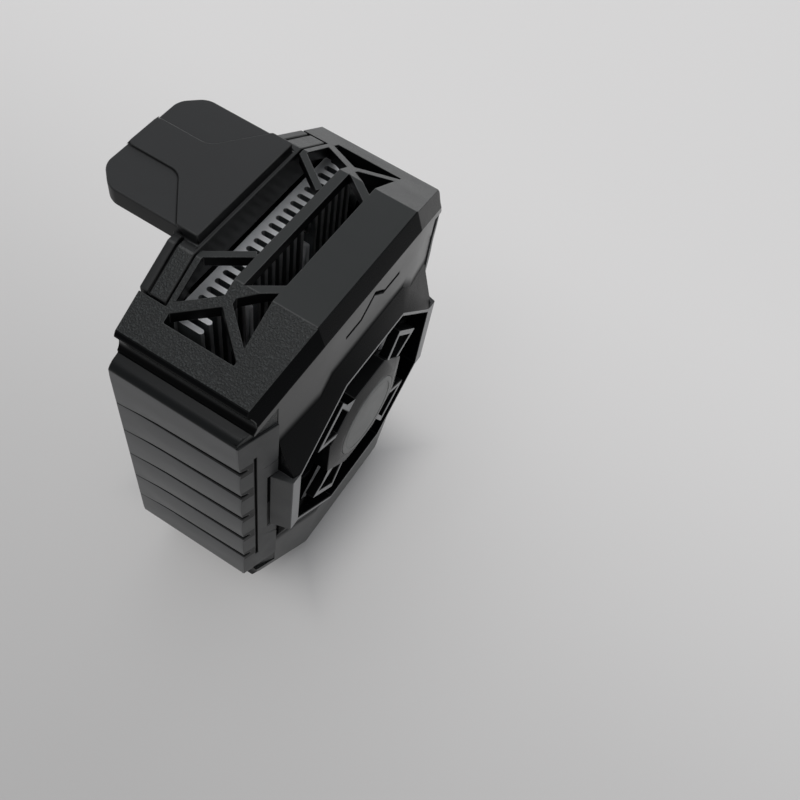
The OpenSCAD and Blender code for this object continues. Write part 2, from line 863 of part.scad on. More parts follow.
module peltier_pellets() {
    step = (peltier_w - pellet_w - 1) / (pellet_count - 1);
    color("#8f9499")
    for (i = [0 : pellet_count - 1], j = [0 : pellet_count - 1])
        translate([
            -peltier_w / 2 + 0.5 + i * step, -sink_y + ceramic_t, -peltier_w / 2 + 0.5 + j * step
        ])
            cube([pellet_w, peltier_t - 2 * ceramic_t, pellet_w]);
}

module insulation_frame() {
    color("#e8e6df")
    difference() {
        translate([-foam_w / 2, -sink_y, -foam_h / 2]) cube([foam_w, peltier_t, foam_h]);
        translate([-peltier_w / 2, -front_depth, -peltier_w / 2]) cube([peltier_w, front_depth, peltier_w]);
        left_right()
            translate([lead_x - lead_r, -lead_y - lead_r, -foam_h])
                cube([2 * lead_r, 2 * lead_r, foam_h]);
    }
}

module cold_plate() {
    color("#c6cace")
    translate([-plate_w / 2, -plate_rear, -plate_h / 2])
        cube([plate_w, plate_t, plate_h]);
}

module contact_pad() {
    color("#6d7276")
    translate([-plate_w / 2, -contact_t, -plate_h / 2])
        cube([plate_w, contact_t, plate_h]);
}

// Flat-sided socket body with round ends, standing up from its mouth
module socket_body(h) {
    linear_extrude(h) {
        square([socket_w - socket_t, socket_t], center = true);
        for (s = [-1, 1])
            translate([s * (socket_w - socket_t) / 2, 0]) circle(d = socket_t);
    }
}

module usb_socket() {
    height = board_z + board_t - (-half_h + 0.3) + 1.2;
    color("#b4b8bb")
    translate([0, -socket_depth, -half_h + 0.3])
        difference() {
            socket_body(height);
            // mouth with its tongue left standing
            translate([0, 0, -over])
                linear_extrude(height - 1 + over)
                    difference() {
                        square([socket_w - 1.6, socket_t - 0.6], center = true);
                        square([socket_w - 3, 0.7], center = true);
                    }
        }
}

module control_board() {
    color("#1f6b3a")
    difference() {
        translate([-board_w / 2, -board_front, board_z]) cube([board_w, board_front - board_rear, board_t]);
        translate([0, -socket_depth, board_z - over]) socket_body(board_t + 2 * over);
    }
}

module board_components() {
    top = board_z + board_t;
    color("#1a1a1c") {
        translate([board_w / 2 - 5.2, -board_front + 0.6, top]) cube([4, 4, 0.8]);
        translate([-board_w / 2 + 1, -board_front + 0.8, top]) cube([3, 3, 1.6]);
        translate([-board_w / 2 + 4.6, -board_rear - 1.4, top]) cube([1.6, 0.8, 0.7]);
        translate([board_w / 2 - 8, -board_rear - 1.4, top]) cube([1.6, 0.8, 0.7]);
    }
}

// Pair of leads from the module, under the heat sink, to the control board
module peltier_leads() {
    z = board_z + board_t / 2;
    color("#a3262a")
    left_right() {
        lead([lead_x, -lead_y, -peltier_w / 2], [lead_x, -lead_y, z]);
        lead([lead_x, -lead_y, z], [lead_x, -board_rear + lead_r, z]);
    }
}

// Pair of leads from the fan to the control board
module fan_leads() {
    z = board_z + board_t / 2;
    color("#2c2e30")
    left_right() {
        lead([0.8, -fan_lead_y, -4], [0.8, -fan_lead_y, z]);
        lead([0.8, -fan_lead_y, z], [0.8, -board_rear + lead_r, z]);
    }
}

// Outline of a jaw plate seen from above
module jaw_plan() {
    half = jaw_w / 2;
    polygon([
        [half, -jaw_front], [half, jaw_reach - jaw_cut], [half - jaw_cut, jaw_reach],
        [-half + jaw_cut, jaw_reach], [-half, jaw_reach - jaw_cut], [-half, -jaw_front]
    ]);
}

// Raised pattern on a jaw seen from above
module relief_plan() {
    half = jaw_w / 2;
    intersection() {
        jaw_plan();
        polygon([
            [3.2, jaw_reach], [3.2, 4.2], [half, -1.2], [half, -jaw_front],
            [-half, -jaw_front], [-half, -1.2], [-3.2, 4.2], [-3.2, jaw_reach]
        ]);
    }
}

// Front outline of the sliding cap and its wings, lowered by a groove
module cap_profile(sink = 0) {
    edge = wing_w / 2;
    polygon([
        [crease_x, half_h - sink], [edge, shoulder_z(edge) - sink], [edge, cap_under],
        [-edge, cap_under], [-edge, shoulder_z(edge) - sink], [-crease_x, half_h - sink]
    ]);
}

module upper_jaw() {
    strip = 1.3;
    groove = 0.35;
    color("#303233") {
        deep(cap_rear, cap_rear + strip) cap_profile();
        deep(cap_rear + strip, cap_rear + strip + groove) cap_profile(0.5);
        deep(cap_rear + strip + groove, cap_front) cap_profile();
        translate([0, 0, jaw_under]) linear_extrude(jaw_t) jaw_plan();
        translate([0, 0, jaw_under + jaw_t]) linear_extrude(relief_h) relief_plan();
        left_right()
            translate([leg_x - leg_w / 2, -cover_in - leg_t, leg_end])
                cube([leg_w, leg_t, leg_l + cap_h / 4]);
    }
}

// Rubber pad of a jaw seen from above
module pad_plan() {
    half = jaw_w / 2 - pad_margin;
    polygon([
        [half, 0.6], [half, jaw_reach - jaw_cut - pad_margin], [half - jaw_cut, jaw_reach - pad_margin],
        [-half + jaw_cut, jaw_reach - pad_margin], [-half, jaw_reach - jaw_cut - pad_margin], [-half, 0.6]
    ]);
}

module upper_jaw_pad() {
    color("#191a1b")
    translate([0, 0, jaw_under - pad_t])
        linear_extrude(pad_t)
            pad_plan();
}

module lower_jaw() {
    color("#303233") {
        translate([0, 0, lower_top - jaw_t])
            linear_extrude(jaw_t)
                union() {
                    jaw_plan();
                    translate([-jaw_w / 2, -slot_front]) square([jaw_w, slot_front]);
                }
        translate([0, 0, -half_h])
            linear_extrude(relief_h)
                union() {
                    relief_plan();
                    translate([-jaw_w / 2, -slot_front]) square([jaw_w, slot_front - rear_depth]);
                }
        // tongue held behind the rear cover
        translate([-tongue_half, -sink_y, lower_top])
            cube([2 * tongue_half, peltier_t, 4.4]);
    }
}

module lower_jaw_pad() {
    color("#191a1b")
    translate([0, 0, lower_top])
        linear_extrude(pad_t)
            pad_plan();
}

// Wound wire as one tube, from the post up to the leg
module coil(low, high, turns) {
    steps = 12;
    sides = 6;
    count = turns * steps;
    rise = (high - low - 2 * wire_r) / count;
    points = [
        for (i = [0 : count], k = [0 : sides - 1])
            let (a = i * 360 / steps, b = k * 360 / sides, r = spring_r + wire_r * cos(b))
                [r * cos(a), r * sin(a), low + wire_r + i * rise + wire_r * sin(b)]
    ];
    rings = [
        for (i = [0 : count - 1], k = [0 : sides - 1])
            let (p = i * sides, q = (k + 1) % sides)
                each [[p + k, p + sides + k, p + q], [p + q, p + sides + k, p + sides + q]]
    ];
    first = [for (k = [1 : sides - 2]) [0, k, k + 1]];
    last = [for (k = [1 : sides - 2]) [count * sides, count * sides + k + 1, count * sides + k]];
    polyhedron(points, concat(rings, first, last));
}

module clamp_springs() {
    color("#c3c7ca")
    left_right()
        translate([leg_x, -channel_y, 0])
            coil(spring_low, spring_high, spring_turns);
}

module case_screws() {
    color("#9da1a4") case_corners() screw_from(rear_depth, 6);
}

module sink_screws() {
    color("#9da1a4")
    sink_corners()
        translate([0, 0, 2 * fin_y + head_h])
            mirror([0, 0, 1])
                screw_from(fin_y, fin_y - plate_rear);
}

module fan_screws() {
    color("#9da1a4")
    fan_corners()
        translate([0, 0, fan_front - lug_t - head_h])
            screw_from(0, lug_t + 1.2);
}

front_shell();
back_cover();
side_grip_left();
side_grip_right();
fan_bezel();
fan_grille();
hub_cap();
fan_frame();
motor_stator();
bearing_sleeve();
impeller();
rotor_magnet();
rotor_shaft();
heat_sink();
peltier_plates();
peltier_pellets();
insulation_frame();
cold_plate();
contact_pad();
control_board();
board_components();
usb_socket();
peltier_leads();
fan_leads();
upper_jaw();
upper_jaw_pad();
lower_jaw();
lower_jaw_pad();
clamp_springs();
case_screws();
sink_screws();
fan_screws();
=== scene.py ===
"""Dresses the phone cooling fan: its meshes, finishes, studio and camera."""
import logging
import math
from abc import ABC, abstractmethod
from dataclasses import dataclass
from enum import Enum
from typing import Callable, Mapping, Optional, Sequence, Union

import bmesh
import bpy
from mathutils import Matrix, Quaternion, Vector


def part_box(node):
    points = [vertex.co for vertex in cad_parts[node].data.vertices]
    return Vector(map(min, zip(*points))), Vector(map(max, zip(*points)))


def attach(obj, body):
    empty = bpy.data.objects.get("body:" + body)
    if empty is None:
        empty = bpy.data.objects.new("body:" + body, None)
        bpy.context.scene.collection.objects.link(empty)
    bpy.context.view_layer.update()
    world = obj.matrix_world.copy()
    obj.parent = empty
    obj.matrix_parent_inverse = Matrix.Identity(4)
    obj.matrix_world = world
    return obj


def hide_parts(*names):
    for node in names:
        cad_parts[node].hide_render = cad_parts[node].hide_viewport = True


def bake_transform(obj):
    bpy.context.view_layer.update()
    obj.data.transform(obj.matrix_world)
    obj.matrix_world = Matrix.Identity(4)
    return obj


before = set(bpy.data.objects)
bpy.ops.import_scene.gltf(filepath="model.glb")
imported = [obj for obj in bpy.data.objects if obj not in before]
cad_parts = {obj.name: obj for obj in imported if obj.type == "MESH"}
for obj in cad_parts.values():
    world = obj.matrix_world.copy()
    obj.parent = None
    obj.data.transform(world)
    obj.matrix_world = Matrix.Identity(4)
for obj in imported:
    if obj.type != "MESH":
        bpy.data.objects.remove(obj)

LOG = logging.getLogger("cooler")
MM = 0.001
EDGE = "edge"
SHARP = math.radians(42.0)
COAT_ROUGHNESS = 0.34
# least share of a face's normal along an axis that it faces squarely, mainly, about half or a little
SQUARE, MAINLY, FACING, LEANING = 0.97, 0.7, 0.5, 0.3

Colour = tuple[float, float, float]
Corner = tuple[float, float, float]


class Body(Enum):
    """The moving groups of the cooler."""

    COOLER = "cooler"
    ROTOR = "rotor"
    CLAMP = "clamp"


class Wire:
    """An output of a node that takes part in Python expressions."""

    def __init__(self, tree: "Tree", socket: bpy.types.NodeSocket) -> None:
        """Keeps the tree and the output socket."""
        self.tree = tree
        self.socket = socket

    def calc(self, operation: str, first: "Input", second: "Input" = 0.0) -> "Wire":
        """Adds one Math node with an operation and two values."""
        return self.tree.node("ShaderNodeMath", {"operation": operation}, {0: first, 1: second})

    def __add__(self, other: "Input") -> "Wire":
        """Sum of two values."""
        return self.calc("ADD", self, other)

    __radd__ = __add__

    def __sub__(self, other: "Input") -> "Wire":
        """Difference of two values."""
        return self.calc("SUBTRACT", self, other)

    def __rsub__(self, other: "Input") -> "Wire":
        """Difference with this value taken away."""
        return self.calc("SUBTRACT", other, self)

    def __mul__(self, other: "Input") -> "Wire":
        """Product of two values."""
        return self.calc("MULTIPLY", self, other)

    __rmul__ = __mul__

    def __truediv__(self, other: "Input") -> "Wire":
        """Quotient of two values."""
        return self.calc("DIVIDE", self, other)

    def at_least(self, other: "Input") -> "Wire":
        """The larger of two values."""
        return self.calc("MAXIMUM", self, other)

    def __abs__(self) -> "Wire":
        """This value without its sign."""
        return self.calc("ABSOLUTE", self)

    def over(self, low: float, high: float) -> "Wire":
        """Rises smoothly from 0 at a low value to 1 at a high one."""
        settings = {"interpolation_type": "SMOOTHSTEP"}
        return self.tree.node("ShaderNodeMapRange", settings, {0: self, 1: low, 2: high})


Input = Union[Wire, float, int, Sequence[float]]


class Tree:
    """A node tree, with one method that adds any node."""

    def __init__(self, tree: bpy.types.NodeTree) -> None:
        """Keeps Blender's own tree."""
        self.tree = tree

    def feed(self, socket: bpy.types.NodeSocket, value: object) -> None:
        """Links a wire to a socket, or sets the socket's own value."""
        if isinstance(value, Wire):
            self.tree.links.new(value.socket, socket)
        elif socket.type == "RGBA" and len(value) == 3:
            socket.default_value = (*value, 1.0)
        else:
            socket.default_value = value

    def node(
        self,
        kind: str,
        settings: Optional[Mapping[str, object]] = None,
        inputs: Optional[Mapping[Union[int, str], object]] = None,
        output: Union[int, str] = 0,
    ) -> Wire:
        """Adds a node.

        Args:
            kind: the node's type.
            settings: its properties, set before its sockets.
            inputs: values or wires for its sockets, by index or name.
            output: the socket to hand back.

        Returns:
            The chosen output.
        """
        made = self.tree.nodes.new(kind)
        for key, value in (settings or {}).items():
            setattr(made, key, value)
        for key, value in (inputs or {}).items():
            self.feed(made.inputs[key], value)
        return Wire(self, made.outputs[output])


class Surface(Tree):
    """The shader of one finish."""

    def __init__(self, name: str) -> None:
        """Makes a material with a bare shader."""
        self.material = bpy.data.materials.new(name)
        self.material.use_nodes = True
        self.material.node_tree.nodes.clear()
        super().__init__(self.material.node_tree)
        shader = self.node("ShaderNodeBsdfPrincipled")
        self.shader = shader.socket.node
        out = self.tree.nodes.new("ShaderNodeOutputMaterial")
        self.tree.links.new(shader.socket, out.inputs["Surface"])
        self.place = self.node("ShaderNodeTexCoord", output="Object")

    def put(self, values: Mapping[str, object]) -> None:
        """Sets or links sockets of the shader."""
        for name, value in values.items():
            self.feed(self.shader.inputs[name], value)

    def noise(
        self, size_mm: float, detail: float = 2.0, stretch: Corner = (1.0, 1.0, 1.0), shift: float = 0.0
    ) -> Wire:
        """Cloudy values of a given size.

        Args:
            size_mm: size of the clouds.
            detail: octaves of finer clouds.
            stretch: how much finer they are along each axis.
            shift: moves the pattern, so that two differ.

        Returns:
            Values around 0.5.
        """
        inputs = {"Vector": self.place, "Location": (shift, shift, shift), "Scale": stretch}
        place = self.node("ShaderNodeMapping", inputs=inputs)
        inputs = {"Vector": place, "Scale": 1.0 / (size_mm * MM), "Detail": detail}
        return self.node("ShaderNodeTexNoise", inputs=inputs)

    def cells(self, size_mm: float) -> Wire:
        """Cell pattern of a given size."""
        inputs = {"Vector": self.place, "Scale": 1.0 / (size_mm * MM)}
        return self.node("ShaderNodeTexVoronoi", inputs=inputs, output="Distance")

    def facing(self, axis: str) -> Wire:
        """The piece's own normal along one axis, without its sign."""
        normal = self.node("ShaderNodeTexCoord", output="Normal")
        return abs(self.node("ShaderNodeSeparateXYZ", inputs={0: normal}, output=axis))

    def along(self, axis: str) -> Wire:
        """The place along one axis, in metres."""
        return self.node("ShaderNodeSeparateXYZ", inputs={0: self.place}, output=axis)

    def edge(self) -> Wire:
        """1 on softened ridges, -1 in creases and 0 elsewhere."""
        return self.node("ShaderNodeAttribute", {"attribute_name": EDGE}, output="Fac")

    def blend(self, first: object, second: object, share: Input) -> Wire:
        """Mixes two colours."""
        settings = {"data_type": "RGBA"}
        return self.node("ShaderNodeMix", settings, {0: share, 6: first, 7: second}, 2)

    def shades(self, tone: Colour, low: float, high: float, share: Input) -> Wire:
        """Mixes two shades of one colour."""
        return self.blend(scaled(tone, low), scaled(tone, high), share)

    def bump(self, height: Wire, rise_mm: float) -> Wire:
        """Normal of a surface raised by a pattern."""
        inputs = {"Height": height, "Distance": rise_mm * MM, "Strength": 1.0}
        return self.node("ShaderNodeBump", inputs=inputs, output="Normal")

    def lay(self, colour: Wire, rough: Wire, height: Wire, rise_mm: float) -> None:
        """Sets the shader's colour, roughness and raised pattern."""
        self.put({"Base Color": colour, "Roughness": rough, "Normal": self.bump(height, rise_mm)})


def held(value: float, low: float = 0.0, high: float = 1.0) -> float:
    """A value kept between two limits."""
    return min(max(value, low), high)


def scaled(tone: Colour, gain: float) -> Colour:
    """A colour made lighter or darker."""
    return (tone[0] * gain, tone[1] * gain, tone[2] * gain)


@dataclass(frozen=True)
class Skin(ABC):
    """A finish, which makes its own material."""

    name: str
    tone: Colour

    def make(self) -> bpy.types.Material:
        """Builds the material."""
        s = Surface(self.name)
        self.dress(s)
        return s.material

    @abstractmethod
    def dress(self, s: Surface) -> None:
        """Lays the finish on a bare shader."""


@dataclass(frozen=True)
class Moulded(Skin):
    """Injection-moulded plastic, with grain, clouding, rubbed ridges lightened partly by wear and partly by a
    painted highlight, and painted shade in creases.
    """

    roughness: float
    grain_mm: float = 0.18
    grain_rise: float = 0.003
    speckle_and_glint: float = 0.0
    clouding: float = 0.10
    rub_and_highlight: float = 0.4
    rub_and_highlight_tone: Colour = (0.10, 0.10, 0.098)
    specular: float = 0.5

    def dress(self, s: Surface) -> None:
        """Lays the finish on a bare shader."""
        cloud = s.noise(7.0, 3.0)
        smear = s.noise(3.0, 4.0, (1.0, 0.4, 1.0), 0.3)
        grain = s.noise(self.grain_mm, 2.0, shift=0.1)
        edge = s.edge()
        colour = s.shades(self.tone, 1 - self.clouding, 1 + self.clouding, cloud)
        # lighter specks: partly the grain, partly painted glints
        if self.speckle_and_glint:
            colour = s.blend(colour, scaled(self.tone, 4.0), grain.over(0.52, 0.72) * self.speckle_and_glint)
        # ridges lighter: partly wear, partly a painted highlight
        wear_and_highlight = edge.at_least(0.0) * (0.45 + 0.9 * smear) * self.rub_and_highlight
        # creases darkened towards black: painted shade
        painted_crease_shade = (0.0 - edge).at_least(0.0) * 0.85
        colour = s.blend(colour, self.rub_and_highlight_tone, wear_and_highlight)
        rough = self.roughness + (smear - 0.5) * 0.16 + (grain - 0.5) * 0.1 - wear_and_highlight * 0.1
        s.lay(s.blend(colour, scaled(self.tone, 0.15), painted_crease_shade), rough, grain, self.grain_rise)
        s.put({"Specular IOR Level": self.specular})
        self.shape(s, colour, grain)

    def shape(self, s: Surface, colour: Wire, grain: Wire) -> None:
        """Adds nothing to a plain skin."""


@dataclass(frozen=True)
class FilletedFace(Moulded):
    """The front face, which curves up softly into the slopes round the fan and is darkened towards them by
    painted shade.
    """

    lip_a: float = 18.7
    lip_y: float = -26.9
    pitch: float = 0.444
    reach: float = 0.8
    slope_tone: Colour = (0.0022, 0.0026, 0.0030)
    sheen: float = 0.8

    def shape(self, s: Surface, colour: Wire, grain: Wire) -> None:
        """Bends the skin where the face meets the slopes, darkens it there with painted shade and dulls its
        gloss layer.
        """
        across, up = abs(s.along("X")), abs(s.along("Z"))
        apothem = up.at_least((across + up) * math.sqrt(0.5))
        slope_y = (apothem / MM - self.lip_a) * self.pitch + self.lip_y
        bend = (1.0 - (slope_y - s.along("Y") / MM) / self.reach).at_least(0.0)
        skin = s.bump(grain, self.grain_rise)
        inputs = {"Height": bend * bend * (self.reach / 2), "Distance": MM, "Normal": skin}
        # painted shade at the foot of the slopes; it also takes away the gloss layer there
        painted_shade = bend.over(0.0, 1.0)
        s.put(
            {
                "Base Color": s.blend(colour, self.slope_tone, painted_shade),
                "Coat Weight": (1.0 - painted_shade) * self.sheen,
                "Coat Roughness": COAT_ROUGHNESS,
                "Normal": s.node("ShaderNodeBump", inputs=inputs, output="Normal"),
            }
        )


@dataclass(frozen=True)
class ScoopWall(Moulded):
    """The wall under a shoulder, with painted shade turning its lower half black."""

    painted_black_z: float = 24.9
    painted_light_z: float = 25.9
    sheen: float = 0.9

    def shape(self, s: Surface, colour: Wire, grain: Wire) -> None:
        """Darkens the skin with painted shade towards the grip and dulls its gloss layer there."""
        # painted shade: black below, the plain skin above
        light = abs(s.along("Z")).over(self.painted_black_z * MM, self.painted_light_z * MM)
        shade = s.blend(scaled(self.tone, 0.15), colour, light)
        s.put({"Base Color": shade, "Coat Weight": light * self.sheen, "Coat Roughness": COAT_ROUGHNESS})


@dataclass(frozen=True)
class Metal(Skin):
    """Bare metal with drawn lines and a little tarnish."""

    roughness: float
    line_mm: float
    stretch: Corner = (1.0, 1.0, 1.0)
    tarnish: float = 0.25

    def dress(self, s: Surface) -> None:
        """Lays the finish on a bare shader."""
        line = s.noise(self.line_mm, 2.0, self.stretch)
        cloud = s.noise(2.5, 4.0, shift=0.2)
        colour = s.shades(self.tone, 1 - self.tarnish, 1.0, cloud)
        s.put({"Metallic": 1.0})
        rough = self.roughness + (line - 0.5) * 0.25 + (cloud - 0.5) * 0.15
        s.lay(s.blend(colour, scaled(self.tone, 0.8), line * 0.4), rough, line, 0.004)


@dataclass(frozen=True)
class SinkMetal(Skin):
    """Bare aluminium extrusion, with painted shade darkening its fin sides and a painted highlight lightening
    its fin tips; its sawn ends are bare and bright.
    """

    painted_shade: Colour = (0.085, 0.092, 0.095)

    def dress(self, s: Surface) -> None:
        """Lays the finish on a bare shader."""
        sawn = s.facing("Z").over(0.6, 0.8)
        tip = s.facing("Y").over(0.3, 0.8)
        saw = s.noise(0.16, 2.0, (1.0, 0.12, 1.0))
        drawn = s.noise(0.14, 2.0, (1.0, 1.0, 0.02), 0.2)
        cloud = s.noise(1.4, 3.0, shift=0.4)
        bare = s.shades(self.tone, 0.72, 1.0, saw * 0.6 + cloud * 0.5)
        # fin sides darkened by painted shade; fin tips lightened by a painted highlight
        shaded_sides = s.shades(self.painted_shade, 0.6, 1.9, drawn)
        shaded_sides = s.blend(shaded_sides, scaled(self.tone, 0.55), tip * (0.4 + 0.5 * drawn))
        s.put({"Metallic": 0.3})
        rough = 0.42 - sawn * 0.08 + (saw - 0.5) * 0.2
        s.lay(s.blend(shaded_sides, bare, sawn), rough, saw * sawn + drawn * (1.0 - sawn), 0.006)


@dataclass(frozen=True)
class Rubber(Skin):
    """Matt rubber or silicone with a fine skin."""

    roughness: float
    skin_mm: float = 0.35

    def dress(self, s: Surface) -> None:
        """Lays the finish on a bare shader."""
        skin = s.cells(self.skin_mm)
        cloud = s.noise(4.0, 4.0)
        dust = s.noise(0.5, 2.0, shift=0.7).over(0.62, 0.8)
        colour = s.blend(s.shades(self.tone, 0.8, 1.2, cloud), scaled(self.tone, 2.2), dust * 0.2)
        s.put({"Specular IOR Level": 0.35})
        s.lay(colour, self.roughness + (cloud - 0.5) * 0.15 + dust * 0.1, skin, 0.012)


@dataclass(frozen=True)
class Foam(Skin):
    """Closed-cell foam, pale and matt."""

    def dress(self, s: Surface) -> None:
        """Lays the finish on a bare shader."""
        pore = s.cells(0.5)
        colour = s.shades(self.tone, 0.75, 1.0, pore * 0.9 + s.noise(5.0, 3.0) * 0.2)
        s.lay(colour, 0.9 - pore * 0.1, pore, 0.08)


@dataclass(frozen=True)
class Ceramic(Skin):
    """Fired alumina with faint sinter marks."""

    def dress(self, s: Surface) -> None:
        """Lays the finish on a bare shader."""
        sinter = s.noise(0.3, 3.0)
        cloud = s.noise(6.0, 3.0, shift=0.5)
        colour = s.shades(self.tone, 0.9, 1.0, cloud * 0.6 + sinter * 0.4)
        s.lay(colour, 0.5 + (sinter - 0.5) * 0.2, sinter, 0.004)


@dataclass(frozen=True)
class Laminate(Skin):
    """Circuit board with copper paths under its green lacquer."""

    path: Colour = (0.03, 0.19, 0.06)

    def dress(self, s: Surface) -> None:
        """Lays the finish on a bare shader."""
        inputs = {"Vector": s.place, "Scale": 620.0, "Distortion": 2.2}
        path = s.node("ShaderNodeTexWave", {"wave_type": "BANDS"}, inputs, "Fac").over(0.55, 0.65)
        weave = s.noise(0.4, 2.0)
        colour = s.blend(s.blend(self.tone, self.path, path), scaled(self.tone, 0.6), weave * 0.4)
        s.lay(colour, 0.35 + (weave - 0.5) * 0.2, path, 0.02)


class Finish(Enum):
    """Every finish on the cooler."""

    GRAINED = Moulded(
        "grained_shell", (0.011, 0.0125, 0.0125), 0.40, 0.27, 0.1, speckle_and_glint=0.9, clouding=0.2, specular=0.42
    )
    SATIN = Moulded("satin_shell", (0.0095, 0.0115, 0.0112), 0.38, 0.16, rub_and_highlight=0.45, specular=0.38)
    GLOSS = Moulded(
        "gloss_black", (0.0022, 0.0026, 0.0030), 0.26, 0.2, 0.001, clouding=0.2, rub_and_highlight=0.12, specular=0.05
    )
    # black standing in for the shade in recesses, grooves, slits and walls out of the light: painted shade
    INNER = Moulded(
        "inner_black", (0.0045, 0.0048, 0.0051), 0.36, 0.2, 0.002, clouding=0.2, rub_and_highlight=0.55, specular=0.14
    )
    BEVEL = Moulded(
        "bevel_plastic", (0.0075, 0.0085, 0.0089), 0.34, 0.2, 0.002, clouding=0.15, rub_and_highlight=0.35, specular=0.26
    )
    SCOOP = ScoopWall(
        "scoop_plastic", (0.018, 0.0195, 0.02), 0.34, 0.2, 0.002, clouding=0.15, rub_and_highlight=0.3, specular=0.04
    )
    FACE = FilletedFace("front_face", (0.018, 0.0195, 0.0195), 0.38, 0.16, rub_and_highlight=0.45, specular=0.05)
    GRIP = Moulded("grip_plastic", (0.105, 0.107, 0.109), 0.42, rub_and_highlight=0.35, rub_and_highlight_tone=(0.2, 0.2, 0.2))
    FLANGE = Moulded("flange_plastic", (0.044, 0.0455, 0.046), 0.42, specular=0.34)
    LIP = Moulded(
        "lip_plastic", (0.22, 0.222, 0.225), 0.34, grain_rise=0.002, rub_and_highlight=0.5, rub_and_highlight_tone=(0.3, 0.305, 0.31)
    )
    HUB = Moulded(
        "hub_plastic", (0.003, 0.0033, 0.0036), 0.20,
        grain_rise=0.002, rub_and_highlight=0.5, rub_and_highlight_tone=(0.16, 0.165, 0.17), specular=0.07,
    )
    DISC = Moulded(
        "hub_disc", (0.124, 0.127, 0.124), 0.38, 0.25,
        speckle_and_glint=0.1, clouding=0.12, rub_and_highlight_tone=(0.2, 0.2, 0.2), specular=0.3,
    )
    COVER = Moulded(
        "cover_plastic", (0.014, 0.015, 0.0155), 0.48, 0.3, 0.02, speckle_and_glint=0.3, clouding=0.12, rub_and_highlight=0.3
    )
    FAN = Moulded("fan_plastic", (0.006, 0.0064, 0.0068), 0.38, 0.25, clouding=0.15, rub_and_highlight=0.2, specular=0.3)
    JAW = Moulded(
        "jaw_plastic", (0.0090, 0.0096, 0.0102), 0.44, 0.16, 0.004, clouding=0.08, rub_and_highlight=0.25, specular=0.38
    )
    JAW_SIDE = Moulded("jaw_side", (0.0078, 0.0084, 0.0088), 0.42, rub_and_highlight=0.3, specular=0.22)
    CHIP = Moulded(
        "chip_resin", (0.012, 0.012, 0.013), 0.55, 0.15, 0.006, speckle_and_glint=0.4, clouding=0.14, rub_and_highlight=0.35
    )
    RED_LEAD = Moulded("red_jacket", (0.30, 0.014, 0.014), 0.4, 0.3, 0.002, clouding=0.14, rub_and_highlight=0.0)
    BLACK_LEAD = Moulded("black_jacket", (0.015, 0.015, 0.016), 0.4, 0.3, 0.002, clouding=0.14, rub_and_highlight=0.0)
    SINK = SinkMetal("fin_metal", (0.86, 0.87, 0.88))
    STEEL = Metal("steel", (0.55, 0.56, 0.57), 0.28, 0.1, (1.0, 1.0, 0.3))
    BLACK_STEEL = Metal("black_steel", (0.035, 0.036, 0.038), 0.4, 0.1, (1.0, 1.0, 0.3))
    PLATE = Metal("brushed_plate", (0.78, 0.79, 0.80), 0.32, 0.1, (0.03, 1.0, 1.0))
    COPPER = Metal("copper_wire", (0.80, 0.30, 0.12), 0.3, 0.12, (1.0, 0.05, 1.0))
    BRONZE = Metal("bronze", (0.52, 0.34, 0.14), 0.35, 0.15)
    MAGNET = Metal("magnet", (0.09, 0.09, 0.095), 0.5, 0.2)
    PELLET = Metal("pellet", (0.30, 0.31, 0.33), 0.45, 0.2)
    PAD = Rubber("jaw_rubber", (0.014, 0.014, 0.0145), 0.75)
    SILICONE = Rubber("silicone_pad", (0.15, 0.165, 0.175), 0.55, 0.5)
    FOAM = Foam("foam", (0.62, 0.60, 0.55))
    CERAMIC = Ceramic("ceramic", (0.82, 0.81, 0.77))
    BOARD = Laminate("board", (0.01, 0.10, 0.035))

    def material(self) -> bpy.types.Material:
        """The finish's material, made on first use."""
        return bpy.data.materials.get(self.value.name) or self.value.make()


Zones = Callable[[Vector, Vector], Finish]


